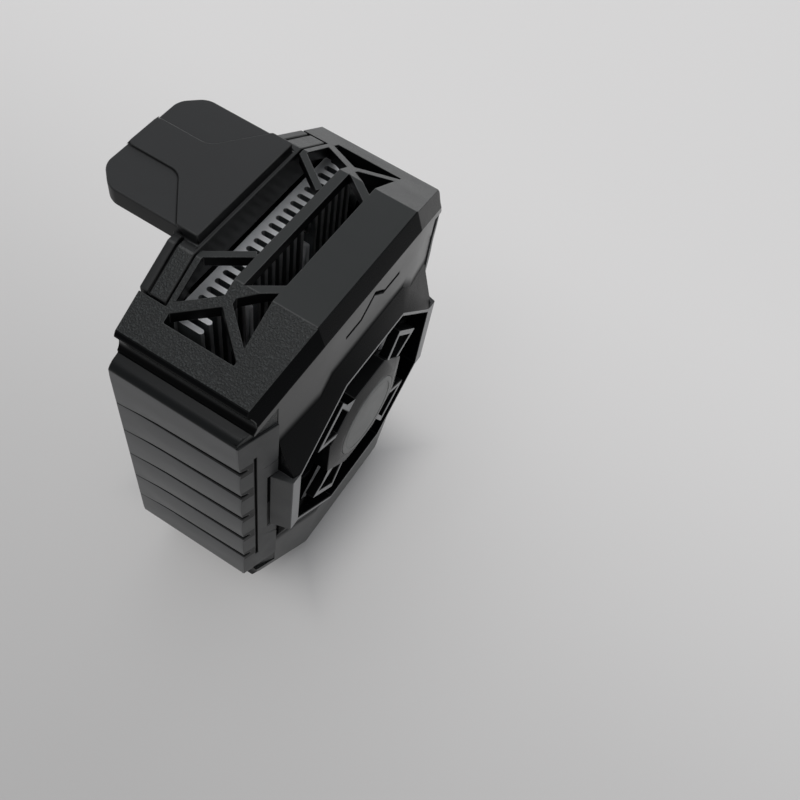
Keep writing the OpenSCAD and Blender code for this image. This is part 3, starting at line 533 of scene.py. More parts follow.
class Piece:
    """A mesh under work that ends as one named piece of the object."""

    def __init__(self, name: str) -> None:
        """Starts with an empty mesh."""
        self.name = name
        self.bm = bmesh.new()

    @classmethod
    def copy_of(cls, node: str) -> "Piece":
        """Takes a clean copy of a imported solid, with its flat faces joined up."""
        piece = cls(node + "_form")
        bm = piece.bm
        bm.from_mesh(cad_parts[node].data)
        bmesh.ops.remove_doubles(bm, verts=bm.verts, dist=2e-6)
        bmesh.ops.dissolve_degenerate(bm, dist=1e-6, edges=bm.edges)
        flat = math.radians(0.6)
        bmesh.ops.dissolve_limit(
            bm, angle_limit=flat, use_dissolve_boundaries=False, verts=bm.verts, edges=bm.edges
        )
        return piece

    def lathe(self, profile: Sequence[tuple[float, float]], steps: int = 64) -> "Piece":
        """Turns a closed profile about the Y axis.

        Args:
            profile: radius and depth of its points in millimetres.
            steps: faces round the turn.

        Returns:
            This piece.
        """
        rings = []
        for i in range(steps):
            turn = 2 * math.pi * i / steps
            points = [(r * math.cos(turn), y, r * math.sin(turn)) for r, y in profile]
            rings.append([self.bm.verts.new([c * MM for c in point]) for point in points])
        count = len(profile)
        for i in range(steps):
            here, after = rings[i], rings[(i + 1) % steps]
            for k in range(count):
                m = (k + 1) % count
                self.bm.faces.new((here[k], here[m], after[m], after[k]))
        bmesh.ops.remove_doubles(self.bm, verts=self.bm.verts, dist=1e-7)
        bmesh.ops.dissolve_degenerate(self.bm, dist=1e-7, edges=self.bm.edges)
        bmesh.ops.recalc_face_normals(self.bm, faces=self.bm.faces)
        return self

    def box(self, low: Corner, high: Corner) -> "Piece":
        """Adds a box between two corners, in millimetres."""
        made = bmesh.ops.create_cube(self.bm, size=1.0)["verts"]
        low_v, high_v = Vector(low) * MM, Vector(high) * MM
        for v in made:
            v.co = Vector([low_v[k] + (v.co[k] + 0.5) * (high_v[k] - low_v[k]) for k in range(3)])
        return self

    def slice_at(self, normal: Corner, places: Sequence[float]) -> "Piece":
        """Cuts edge loops at distances along a direction, in millimetres."""
        for place in places:
            self.bisect(Vector(normal) * place, normal)
        return self

    def plane_off(self, place: Corner, normal: Corner) -> "Piece":
        """Cuts away what lies on a plane's outer side, given in millimetres, and closes the cut."""
        self.bisect(place, normal, clear_outer=True)
        bmesh.ops.edgeloop_fill(self.bm, edges=[e for e in self.bm.edges if e.is_boundary])
        return self

    def bisect(self, place: Sequence[float], normal: Corner, clear_outer: bool = False) -> None:
        """Cuts the mesh along a plane through a point in millimetres."""
        geom = [*self.bm.verts, *self.bm.edges, *self.bm.faces]
        middle = Vector(place) * MM
        bmesh.ops.bisect_plane(
            self.bm, geom=geom, dist=1e-7, plane_co=middle, plane_no=normal, clear_outer=clear_outer
        )

    def move(self, rule: Callable[[Vector], Vector]) -> "Piece":
        """Moves every point by a rule."""
        for v in self.bm.verts:
            v.co = rule(v.co)
        return self

    def soften(
        self,
        width: float,
        segments: int = 2,
        angle: float = 18.0,
        wanted: Optional[Callable[[bmesh.types.BMEdge], bool]] = None,
    ) -> "Piece":
        """Rounds sharp edges and marks them: ridges for rubbing and a painted highlight, creases for painted
        shade.

        Args:
            width: width of the rounding in millimetres.
            segments: faces across it.
            angle: least angle of an edge, in degrees.
            wanted: picks edges, by default all.

        Returns:
            This piece.
        """
        bm = self.bm
        layer = bm.verts.layers.float.get(EDGE) or bm.verts.layers.float.new(EDGE)
        limit = math.radians(angle)
        edges = [
            e
            for e in bm.edges
            if len(e.link_faces) == 2 and e.calc_face_angle(0.0) > limit and (wanted is None or wanted(e))
        ]
        made = bmesh.ops.bevel(
            bm, geom=edges, offset=width * MM, offset_type="OFFSET", segments=segments, profile=0.5,
            affect="EDGES", clamp_overlap=False, miter_outer="SHARP", loop_slide=True,
        )
        fresh = set(made["faces"])
        for v in {v for f in fresh for v in f.verts}:
            bend = sum(e.calc_face_angle_signed(0.0) for e in v.link_edges)
            v[layer] = math.copysign(1.0, bend) if fresh.issuperset(v.link_faces) else 0.0
        return self

    def place(
        self, body: Body, slot: str, finish: Finish, node: str, zones: Optional[Zones] = None
    ) -> bpy.types.Object:
        """Turns the mesh into a piece in its finishes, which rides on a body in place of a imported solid."""
        return seat(self.to_object(finish, zones), body, slot, node)

    def to_object(self, finish: Finish, zones: Optional[Zones] = None) -> bpy.types.Object:
        """Makes the object with its finishes, not yet riding on anything."""
        used = [finish]
        self.bm.normal_update()
        for face in self.bm.faces:
            face.smooth = True
            if zones:
                zone = zones(face.normal, face.calc_center_median())
                if zone not in used:
                    used.append(zone)
                face.material_index = used.index(zone)
        for edge in self.bm.edges:
            edge.smooth = edge.calc_face_angle(0.0) < SHARP
        mesh = bpy.data.meshes.new(self.name)
        self.bm.to_mesh(mesh)
        self.bm.free()
        for entry in used:
            mesh.materials.append(entry.material())
        made = added(self.name, mesh)
        weigh = made.modifiers.new("weigh", "WEIGHTED_NORMAL")
        weigh.keep_sharp = True
        bake(made)
        return made


def added(name: str, data: bpy.types.ID) -> bpy.types.Object:
    """Puts a new object with its data into the scene."""
    made = bpy.data.objects.new(name, data)
    bpy.context.scene.collection.objects.link(made)
    return made


def bake(made: bpy.types.Object) -> None:
    """Turns an object's modifiers into its plain mesh."""
    bpy.context.view_layer.update()
    graph = bpy.context.evaluated_depsgraph_get()
    mesh = bpy.data.meshes.new_from_object(made.evaluated_get(graph), depsgraph=graph)
    mesh.name = made.name
    made.modifiers.clear()
    made.data = mesh


def seat(made: bpy.types.Object, body: Body, slot: str, node: str) -> bpy.types.Object:
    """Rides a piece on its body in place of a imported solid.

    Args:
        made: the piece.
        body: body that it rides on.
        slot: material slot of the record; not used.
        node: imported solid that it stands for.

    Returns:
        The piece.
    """
    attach(made, body.value)
    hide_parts(node)
    LOG.info("%s rides on %s", made.name, body.value)
    return made


class Recipe(Tree):
    """A Geometry Nodes tree that repeats a template."""

    def __init__(self, name: str) -> None:
        """Starts the tree with a geometry input and output."""
        super().__init__(bpy.data.node_groups.new(name, "GeometryNodeTree"))
        face = self.tree.interface
        face.new_socket(name="Template", in_out="INPUT", socket_type="NodeSocketGeometry")
        face.new_socket(name="Result", in_out="OUTPUT", socket_type="NodeSocketGeometry")
        self.entry = self.tree.nodes.new("NodeGroupInput")
        self.exit = self.tree.nodes.new("NodeGroupOutput")
        self.template = Wire(self, self.entry.outputs["Template"])
        self.values: dict[str, object] = {}

    def size(self, name: str, kind: str, value: object) -> Wire:
        """Adds a named input.

        Args:
            name: its name.
            kind: Float, Int, Vector or Material.
            value: what it is set to.

        Returns:
            The input inside the tree.
        """
        face = self.tree.interface
        socket = face.new_socket(name=name, in_out="INPUT", socket_type="NodeSocket" + kind)
        self.values[socket.identifier] = value
        return Wire(self, self.entry.outputs[name])

    def scatter(self, points: Wire, shape: Wire, finish: Finish, rotation: Input = (0, 0, 0)) -> "Recipe":
        """Puts a shape at every point and ends the tree with real geometry in one finish.

        Args:
            points: where the shapes stand.
            shape: what stands there.
            finish: finish of them all.
            rotation: turn of each one.

        Returns:
            This tree.
        """
        inputs = {"Points": points, "Instance": shape, "Rotation": rotation}
        placed = self.node("GeometryNodeInstanceOnPoints", inputs=inputs)
        solid = self.node("GeometryNodeRealizeInstances", inputs={"Geometry": placed})
        paint = self.size("Finish", "Material", finish.material())
        done = self.node("GeometryNodeSetMaterial", inputs={"Geometry": solid, "Material": paint})
        self.tree.links.new(done.socket, self.exit.inputs["Result"])
        return self

    def run(self, template: bpy.types.Object) -> bpy.types.Object:
        """Repeats a template object and leaves the result as its plain mesh."""
        repeat = template.modifiers.new("repeat", "NODES")
        repeat.node_group = self.tree
        for identifier, value in self.values.items():
            repeat[identifier] = value
        bake(template)
        return template


def row(name: str, count: int, start: Corner, step: Corner, finish: Finish) -> Recipe:
    """A straight row of the template.

    Args:
        name: name of the tree.
        count: how many.
        start: place of the first, in millimetres.
        step: from one to the next, in millimetres.
        finish: finish of them all.

    Returns:
        The tree.
    """
    r = Recipe(name)
    inputs = {
        "Count": r.size("Count", "Int", count),
        "Start Location": r.size("Start", "Vector", Vector(start) * MM),
        "Offset": r.size("Step", "Vector", Vector(step) * MM),
    }
    return r.scatter(r.node("GeometryNodeMeshLine", {"mode": "OFFSET"}, inputs), r.template, finish)


def ring(name: str, count: int, finish: Finish) -> Recipe:
    """The template turned about the Y axis.

    Args:
        name: name of the tree.
        count: how many round the turn.
        finish: finish of them all.

    Returns:
        The tree.
    """
    r = Recipe(name)
    number = r.size("Count", "Int", count)
    inputs = {"Count": number, "Offset": (0.0, 0.0, 0.0)}
    line = r.node("GeometryNodeMeshLine", {"mode": "OFFSET"}, inputs)
    turn = r.node("GeometryNodeInputIndex") * (2 * math.pi) / number
    return r.scatter(line, r.template, finish, r.node("ShaderNodeCombineXYZ", inputs={"Y": turn}))


def four_corners(name: str, half_x: float, half_z: float, finish: Finish) -> Recipe:
    """The template at four corners of the XZ plane.

    Args:
        name: name of the tree.
        half_x: distance from the middle along X, in millimetres.
        half_z: distance from the middle along Z, in millimetres.
        finish: finish of them all.

    Returns:
        The tree.
    """
    r = Recipe(name)
    inputs = {
        "Size X": r.size("Width", "Float", 2 * half_x * MM),
        "Size Y": r.size("Height", "Float", 2 * half_z * MM),
        "Vertices X": 2,
        "Vertices Y": 2,
    }
    grid = r.node("GeometryNodeMeshGrid", inputs=inputs)
    at = r.node("GeometryNodeInputPosition")
    across, up = (r.node("ShaderNodeSeparateXYZ", inputs={0: at}, output=axis) for axis in "XY")
    upright = r.node("ShaderNodeCombineXYZ", inputs={"X": across, "Z": up})
    points = r.node("GeometryNodeSetPosition", inputs={"Geometry": grid, "Position": upright})
    return r.scatter(points, r.template, finish)


def wound(name: str, turns: float, radius: float, height: float, wire: float, finish: Finish) -> Recipe:
    """A wire coil standing at every point of the template.

    Args:
        name: name of the tree.
        turns: number of turns.
        radius: mean radius in millimetres.
        height: height of the wire's middle line in millimetres.
        wire: radius of the wire in millimetres.
        finish: finish of the wire.

    Returns:
        The tree.
    """
    r = Recipe(name)
    inputs = {
        "Resolution": 24,
        "Rotations": r.size("Turns", "Float", turns),
        "Start Radius": r.size("Radius", "Float", radius * MM),
        "End Radius": radius * MM,
        "Height": r.size("Height", "Float", height * MM),
    }
    path = r.node("GeometryNodeCurveSpiral", inputs=inputs)
    inputs = {"Resolution": 10, "Radius": r.size("Wire", "Float", wire * MM)}
    section = r.node("GeometryNodeCurvePrimitiveCircle", inputs=inputs)
    inputs = {"Curve": path, "Profile Curve": section, "Fill Caps": True}
    return r.scatter(r.template, r.node("GeometryNodeCurveToMesh", inputs=inputs), finish)


def join(made: bpy.types.Object, other: bpy.types.Object) -> bpy.types.Object:
    """Adds another object's mesh to this one and removes the other.

    Args:
        made: the object that stays.
        other: the object that goes.

    Returns:
        The object that stays.
    """
    bm = bmesh.new()
    bm.from_mesh(made.data)
    count = len(made.data.materials)
    start = len(bm.faces)
    bm.from_mesh(other.data)
    bm.faces.ensure_lookup_table()
    for face in bm.faces[start:]:
        face.material_index += count
    for material in other.data.materials:
        made.data.materials.append(material)
    bm.to_mesh(made.data)
    bm.free()
    bpy.data.objects.remove(other)
    return made


def cut(made: bpy.types.Object, cutter: bpy.types.Object) -> bpy.types.Object:
    """Cuts one object's shape out of another and removes the cutter.

    Args:
        made: the object that stays.
        cutter: the shape to cut away.

    Returns:
        The object that stays.
    """
    tool = made.modifiers.new("cut", "BOOLEAN")
    tool.operation = "DIFFERENCE"
    tool.solver = "EXACT"
    tool.object = cutter
    bake(made)
    bpy.data.objects.remove(cutter)
    return made


def round_off(node: str, slot: str, finish: Finish, width: float, zones: Optional[Zones] = None) -> None:
    """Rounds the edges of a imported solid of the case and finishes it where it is."""
    Piece.copy_of(node).soften(width).place(Body.COOLER, slot, finish, node, zones)


def paint(node: str, finish: Finish) -> None:
    """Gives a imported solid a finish."""
    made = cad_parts[node]
    if not made.material_slots:
        made.data.materials.append(None)
    for entry in made.material_slots:
        entry.material = finish.material()
    LOG.info("%s is dressed in %s", node, finish.value.name)


@dataclass
class Case:
    """The octagonal shell, its rear cover and the two louvred grips."""

    half_w: float = 24.0
    shoulder_low: float = 28.0
    shoulder_n: tuple[float, float] = (0.864, 0.504)
    trim_low: float = 27.55
    trim_h: float = 0.3
    trim_up: float = 0.8
    scoop_low: float = 24.25
    scoop_high: float = 27.35
    scoop_x: float = 23.2
    scoop_lip: float = 0.7
    scoop_room: tuple[float, float] = (0.2, 0.1)
    fine_edge: float = 0.14
    screw: tuple[float, float] = (19.9, 22.0)
    screw_room: float = 1.5
    chamfer_y: float = -20.0
    chamfer_low: float = 24.0
    chamfer_up: float = 0.25
    front_y: float = -24.4
    zigzag_top: float = 31.6
    zigzag_half: float = 11.9
    zigzag_floor: float = -25.15
    vent_low: float = 28.3
    vent_y: tuple[float, float] = (-24.0, -1.2)
    grip_out: float = 26.2
    grip_half: float = 22.3
    grip_rear: float = -1.0
    grip_front: float = -22.0
    grip_cuts: tuple[float, ...] = (3.0, 5.0, 8.0, 11.0, 14.0, 18.0, 21.63)
    grip_sharp: float = 20.0
    step_y: float = -21.5
    step_depth: float = 0.2
    bands: int = 6
    groove: float = 0.4
    groove_depth: float = 0.5
    groove_wide: float = 1.9
    groove_narrowing: float = 1.4
    groove_x: float = 24.7
    swell: float = 0.3
    swell_gain: float = 4.0
    slant: float = 1.4
    fade_start: float = 0.3
    fade_span: float = 0.55
    fade_depth: float = 0.96
    skin_front: float = 0.02
    skin_rear: float = 0.3
    rear_part: float = 0.8
    loops: int = 6
    flange_x: float = 19.9
    flange_y: float = -24.09
    flange_n: tuple[float, float] = (0.3162, -0.9487)
    end_n: tuple[float, float] = (0.5007, 0.8656)
    end_low: float = 8.97
    end_high: float = 11.51
    end_swell: float = 0.36
    end_skin: float = 0.3
    end_room: float = 0.2
    end_zone: float = 0.4
    slit_x: float = 23.6
    slit_half: float = 17.1
    slit_depth: float = 0.05
    slit_room: float = 0.4
    front_share: float = 0.6

    def build(self) -> None:
        """Makes the shell, the cover and the grips."""
        shell = Piece.copy_of("front_shell")
        out, up = self.shoulder_n
        for side_x in (-1, 1):
            for side_z in (-1, 1):
                place = (side_x * self.half_w, 0.0, side_z * self.trim_low)
                shell.plane_off(place, (out * side_x, 0.0, up * side_z))
        shell.soften(self.fine_edge, wanted=self.open_edge)
        shell.place(Body.COOLER, "shell", Finish.GRAINED, "front_shell", self.shell_zone)
        cover = Piece.copy_of("back_cover").soften(self.fine_edge, wanted=self.clear_edge)
        cover.place(Body.COOLER, "cover", Finish.COVER, "back_cover")
        for side in ("left", "right"):
            self.build_grip("side_grip_" + side)

    def open_edge(self, edge: bmesh.types.BMEdge) -> bool:
        """Whether an edge has room for rounding, as the upper edge of a side scoop has not."""
        under, over = self.scoop_room
        out, low, high = self.scoop_x + over, self.scoop_high - under, self.scoop_high + over
        return any(abs(v.co.x) < out * MM or not low < abs(v.co.z) / MM < high for v in edge.verts)

    def clear_edge(self, edge: bmesh.types.BMEdge) -> bool:
        """Whether an edge of the cover is clear of the screw holes, which lie close to its rim."""
        x, z = self.screw
        return all(
            math.hypot(abs(v.co.x) / MM - x, abs(v.co.z) / MM - z) > self.screw_room for v in edge.verts
        )

    def shell_zone(self, normal: Vector, middle: Vector) -> Finish:
        """Finish of a face of the shell.

        Args:
            normal: the face's normal.
            middle: its middle.

        Returns:
            The finish.
        """
        x, y, z = abs(middle.x) / MM, middle.y / MM, abs(middle.z) / MM
        up = abs(normal.z)
        chamfer = y < self.chamfer_y and z > self.chamfer_low
        if chamfer and normal.y < -LEANING and up > self.chamfer_up:
            return Finish.GLOSS
        if x > self.scoop_x and z > self.scoop_low - self.scoop_lip and normal.y > -MAINLY:
            return self.edge_zone(z, up)
        # recess walls behind the front face and the vent walls: black with painted shade
        zigzag = x < self.zigzag_half and y > self.zigzag_floor
        if y < self.front_y and z < self.zigzag_top and (abs(normal.y) < FACING or zigzag):
            return Finish.INNER
        if up < LEANING and z > self.vent_low and self.vent_y[0] < y < self.vent_y[1]:
            return Finish.INNER
        if normal.y < -MAINLY:
            return Finish.FACE
        return Finish.SATIN if up > SQUARE else Finish.GRAINED

    def edge_zone(self, z: float, up: float) -> Finish:
        """Finish of a face under a shoulder: black trim and the wall of the scoop."""
        if z > self.scoop_high:
            trim = up < self.trim_up and z < self.shoulder_low + self.trim_h
            return Finish.GLOSS if trim else Finish.GRAINED
        return Finish.SCOOP

    def build_grip(self, node: str) -> None:
        """Makes one grip with round ends and swelling bands between slanting grooves."""
        side = 1 if node.endswith("right") else -1
        cuts = []
        for band in range(self.bands):
            cuts += self.between(*self.band_ends(band))
        grip = Piece.copy_of(node).slice_at((0.0, 0.0, 1.0), cuts)
        grip.slice_at((0.0, -1.0, 0.0), self.grip_cuts)
        out, up = self.end_n
        for end in (-1, 1):
            grip.slice_at((side * up, 0.0, -end * out), self.between(self.end_low, self.end_high))
        grip.soften(self.fine_edge, 2, self.grip_sharp)
        grip.move(self.shaped)
        grip.place(Body.COOLER, "grip", Finish.GRIP, node, self.grip_zone)

    def between(self, low: float, high: float) -> list[float]:
        """Evenly spaced places between two others."""
        return [low + (high - low) * k / self.loops for k in range(1, self.loops)]

    @property
    def pitch(self) -> float:
        """Height of a band with its groove."""
        return 2 * self.grip_half / self.bands

    def band_ends(self, band: int) -> tuple[float, float]:
        """Lowest and highest place of a band between its grooves."""
        low = -self.grip_half + band * self.pitch + self.groove / 2
        return low, low + self.pitch - self.groove

    def rear_share(self, y: float) -> float:
        """How far a place is from the front of a grip to its rear, from 0 to 1."""
        return held((y - self.grip_front) / (self.grip_rear - self.grip_front))

    def groove_line(self, z: float) -> float:
        """Place of the middle of the groove nearest to a point, before the grooves slant."""
        number = round(held((z + self.grip_half) / self.pitch, 1, self.bands - 1))
        return number * self.pitch - self.grip_half

    def groove_width(self, rear: float) -> float:
        """How much wider than its solid's a groove is, which narrows to the rear."""
        return self.groove_wide - self.groove_narrowing * rear

    def slanted(self, z: float, rear: float) -> float:
        """How far a point is lowered towards the rear."""
        return self.slant * rear * (1.0 - (z / self.grip_half) ** 4)

    def shaped(self, point: Vector) -> Vector:
        """A point of a grip with its ends round, its bands swelling and its grooves slanting."""
        x, y, z = min(abs(point.x) / MM, self.grip_out), point.y / MM, point.z / MM
        rear = self.rear_share(y)
        under = self.skin_rear if rear > self.rear_part else self.skin_front
        if abs(z) > self.grip_half - self.end_room:
            x, z = self.rounded(x, z)
        elif x > self.grip_out - self.groove_depth - under:
            x, z = self.louvred(x, z, rear)
        return Vector((math.copysign(x, point.x) * MM, point.y, z * MM))

    def rounded(self, x: float, z: float) -> tuple[float, float]:
        """Swells the sloping end of a grip into a curve."""
        out, up = self.end_n
        proud = (x - self.grip_out) * out + (abs(z) - self.grip_half) * up
        share = (x * up - abs(z) * out - self.end_low) / (self.end_high - self.end_low)
        if proud < -self.end_skin or not 0.0 < share < 1.0:
            return x, z
        lift = self.end_swell * 4 * share * (1 - share) * min(1.0 + proud / self.end_skin, 1.0)
        return x + lift * out, z + math.copysign(lift * up, z)

    def louvred(self, x: float, z: float, rear: float) -> tuple[float, float]:
        """Swells a band and makes its grooves narrower, shallower and lower to the rear."""
        band = int(held((z + self.grip_half) // self.pitch, 0, self.bands - 1))
        low, high = self.band_ends(band)
        share = held((z - low) / (high - low))
        end = (band == 0 and share < 0.5) or (band == self.bands - 1 and share > 0.5)
        front = min(1.0, (1.0 - rear) * self.swell_gain)
        swell = 0.0 if end else self.swell * (2 * share - 1) ** 2 * front
        fade = held((rear - self.fade_start) / self.fade_span)
        x = self.grip_out - swell - (self.grip_out - x) * (1.0 - self.fade_depth * fade)
        line = self.groove_line(z)
        if abs(z - line) < self.groove / 2 + self.fine_edge + 0.01:
            z = line + (z - line) * self.groove_width(rear)
        return x, z - self.slanted(z, rear)

    def grip_zone(self, normal: Vector, middle: Vector) -> Finish:
        """Finish of a face of a grip: darker on its sloping ends, and black with painted shade on the flat
        tops of its ends, in its slits and in its grooves.

        Args:
            normal: the face's normal.
            middle: its middle.

        Returns:
            The finish.
        """
        x, y, z = abs(middle.x) / MM, middle.y / MM, abs(middle.z) / MM
        nx, ny = self.flange_n
        proud = (x - self.flange_x) * nx + (y - self.flange_y) * ny
        up, front = abs(normal.z), normal.y < -self.front_share
        if z > self.grip_half - self.end_zone:
            if up > SQUARE and y < self.step_y:
                return Finish.INNER
            if up > LEANING:
                return Finish.BEVEL
            return Finish.GRAINED if proud < -self.step_depth and front else Finish.FLANGE
        if proud < -self.slit_depth and abs(x - self.slit_x) < self.slit_room and z < self.slit_half:
            return Finish.INNER
        rear = self.rear_share(y)
        flat_z = middle.z / MM + self.slanted(z, rear)
        half = (self.groove / 2 + self.fine_edge) * self.groove_width(rear)
        if abs(flat_z - self.groove_line(flat_z)) < half and x > self.groove_x and normal.y < LEANING:
            return Finish.INNER
        return Finish.FLANGE if front else Finish.GRIP


@dataclass
class FanFace:
    """The rim round the fan, the loop spokes and the hub disc."""

    edge: float = 0.14
    ear_x: float = 18.9
    ear_half: float = 8.35
    hub_a: float = 10.3
    disc_r: float = 7.3
    disc_back: float = -27.0
    disc_front: float = -27.6
    lip_share: float = 0.96
    loop_share: float = 0.9

    def build(self) -> None:
        """Makes the rim, the grille and the disc."""
        round_off("fan_bezel", "bezel", Finish.GLOSS, self.edge, self.rim_zone)
        round_off("fan_grille", "grille", Finish.HUB, self.edge, self.grille_zone)
        front, back, r = self.disc_front, self.disc_back, self.disc_r
        disc = Piece("hub_disc").lathe(
            [
                (0.0, back), (r, back), (r, front + 0.2), (r - 0.06, front + 0.06), (r - 0.2, front),
                (r - 0.9, front), (r - 1.0, front + 0.1), (r - 1.15, front + 0.1), (r - 1.25, front + 0.02),
                (0.0, front + 0.02),
            ],
            96,
        )
        disc.place(Body.COOLER, "hub", Finish.DISC, "hub_cap")

    def rim_zone(self, normal: Vector, middle: Vector) -> Finish:
        """Finish of a face of the rim: black slopes, pale lip and grey ear walls."""
        if normal.y < -self.lip_share:
            return Finish.LIP
        ear = abs(middle.x) > self.ear_x * MM and abs(middle.z) < self.ear_half * MM
        return Finish.FLANGE if ear else Finish.GLOSS

    def grille_zone(self, normal: Vector, middle: Vector) -> Finish:
        """Finish of a face of the grille: pale loop fronts, a near-black hub front, and loop walls and hub
        sides black with painted shade.
        """
        x, z = abs(middle.x) / MM, abs(middle.z) / MM
        if max(x, z, (x + z) * math.sqrt(0.5)) < self.hub_a:
            return Finish.HUB if normal.y < -FACING else Finish.INNER
        return Finish.LIP if normal.y < -self.loop_share else Finish.INNER


@dataclass
class Fan:
    """The fan frame, the bladed rotor and the motor inside it."""

    blades: int = 9
    tip_r: float = 17.0
    hub_r: float = 8.6
    back: float = -13.9
    front: float = -21.3
    wall: float = 0.8
    floor: float = 0.9
    blade_t: float = 0.7
    blade_edge: float = 0.35
    blade_belly: float = 2.6
    blade_lean: tuple[float, float] = (0.6, 0.8)
    blade_reach: float = 0.94
    blade_setback: float = 0.25
    tip_cut: float = 0.08
    hub_share: float = 0.45
    root: float = 0.3
    twist: float = 0.62
    camber: float = 0.16
    sweep: float = 0.42
    span_steps: int = 9
    chord_steps: int = 8
    frame_edge: float = 0.1

    def build(self) -> None:
        """Makes the frame and the rotor, and dresses the motor."""
        round_off("fan_frame", "fan", Finish.FAN, self.frame_edge)
        blade = self.blade().to_object(Finish.FAN)
        wheel = ring("fan_blades", self.blades, Finish.FAN).run(blade)
        hub = Piece("impeller_hub").lathe(self.hub_profile(), 96).to_object(Finish.FAN)
        seat(join(wheel, hub), Body.ROTOR, "fan", "impeller")
        paint("motor_stator", Finish.COPPER)
        paint("bearing_sleeve", Finish.BRONZE)
        paint("rotor_magnet", Finish.MAGNET)
        paint("rotor_shaft", Finish.STEEL)

    def hub_profile(self) -> list[tuple[float, float]]:
        """Section of the cup that carries the blades."""
        r, f, b = self.hub_r, self.front, self.back
        inside = r - self.wall
        return [
            (0.0, f), (r - 1.0, f), (r - 0.3, f + 0.3), (r, f + 1.0), (r, b), (inside, b),
            (inside, f + self.floor), (0.0, f + self.floor),
        ]

    def blade(self) -> Piece:
        """One swept and cambered blade."""
        piece = Piece("impeller_form")
        sheets = []
        for side in (-0.5, 0.5):
            sheet = []
            for i in range(self.span_steps + 1):
                u = i / self.span_steps
                r = self.hub_r - self.root + u * (self.tip_r - self.hub_r + self.root)
                shares = [k / self.chord_steps for k in range(self.chord_steps + 1)]
                sheet.append([self.blade_point(r, u, v, side) for v in shares])
            sheets.append([[piece.bm.verts.new(p) for p in line] for line in sheet])
        self.skin(piece, sheets)
        bmesh.ops.recalc_face_normals(piece.bm, faces=piece.bm.faces)
        return piece

    def blade_point(self, r: float, u: float, v: float, side: float) -> Vector:
        """A point of a blade.

        Args:
            r: radius in millimetres.
            u: share of the span.
            v: share of the chord.
            side: which face of the blade.

        Returns:
            The point in metres.
        """
        depth = (self.front - self.back) * self.blade_reach
        thick = self.blade_t * (self.blade_edge + self.blade_belly * v * (1 - v)) * side
        lean_y, lean_round = self.blade_lean
        y = self.back - self.blade_setback + depth * v * (1 - self.tip_cut * u) + thick * lean_y
        bend = self.twist * v + self.camber * math.sin(math.pi * v)
        turn = bend * self.hub_r / ((1 - self.hub_share) * r + self.hub_share * self.hub_r)
        turn += self.sweep * u * u + thick * lean_round / r
        return Vector((r * math.cos(turn), y, r * math.sin(turn))) * MM

    def skin(self, piece: Piece, sheets: list) -> None:
        """Closes the two faces of a blade into one solid."""
        low, high = sheets
        rows, columns = len(low) - 1, len(low[0]) - 1
        new = piece.bm.faces.new
        for i in range(rows):
            for k in range(columns):
                new((low[i][k], low[i][k + 1], low[i + 1][k + 1], low[i + 1][k]))
                new((high[i][k], high[i + 1][k], high[i + 1][k + 1], high[i][k + 1]))
            new((low[i][0], low[i + 1][0], high[i + 1][0], high[i][0]))
            new((low[i][columns], high[i][columns], high[i + 1][columns], low[i + 1][columns]))
        for k in range(columns):
            new((low[0][k], high[0][k], high[0][k + 1], low[0][k + 1]))
            new((low[rows][k], low[rows][k + 1], high[rows][k + 1], high[rows][k]))


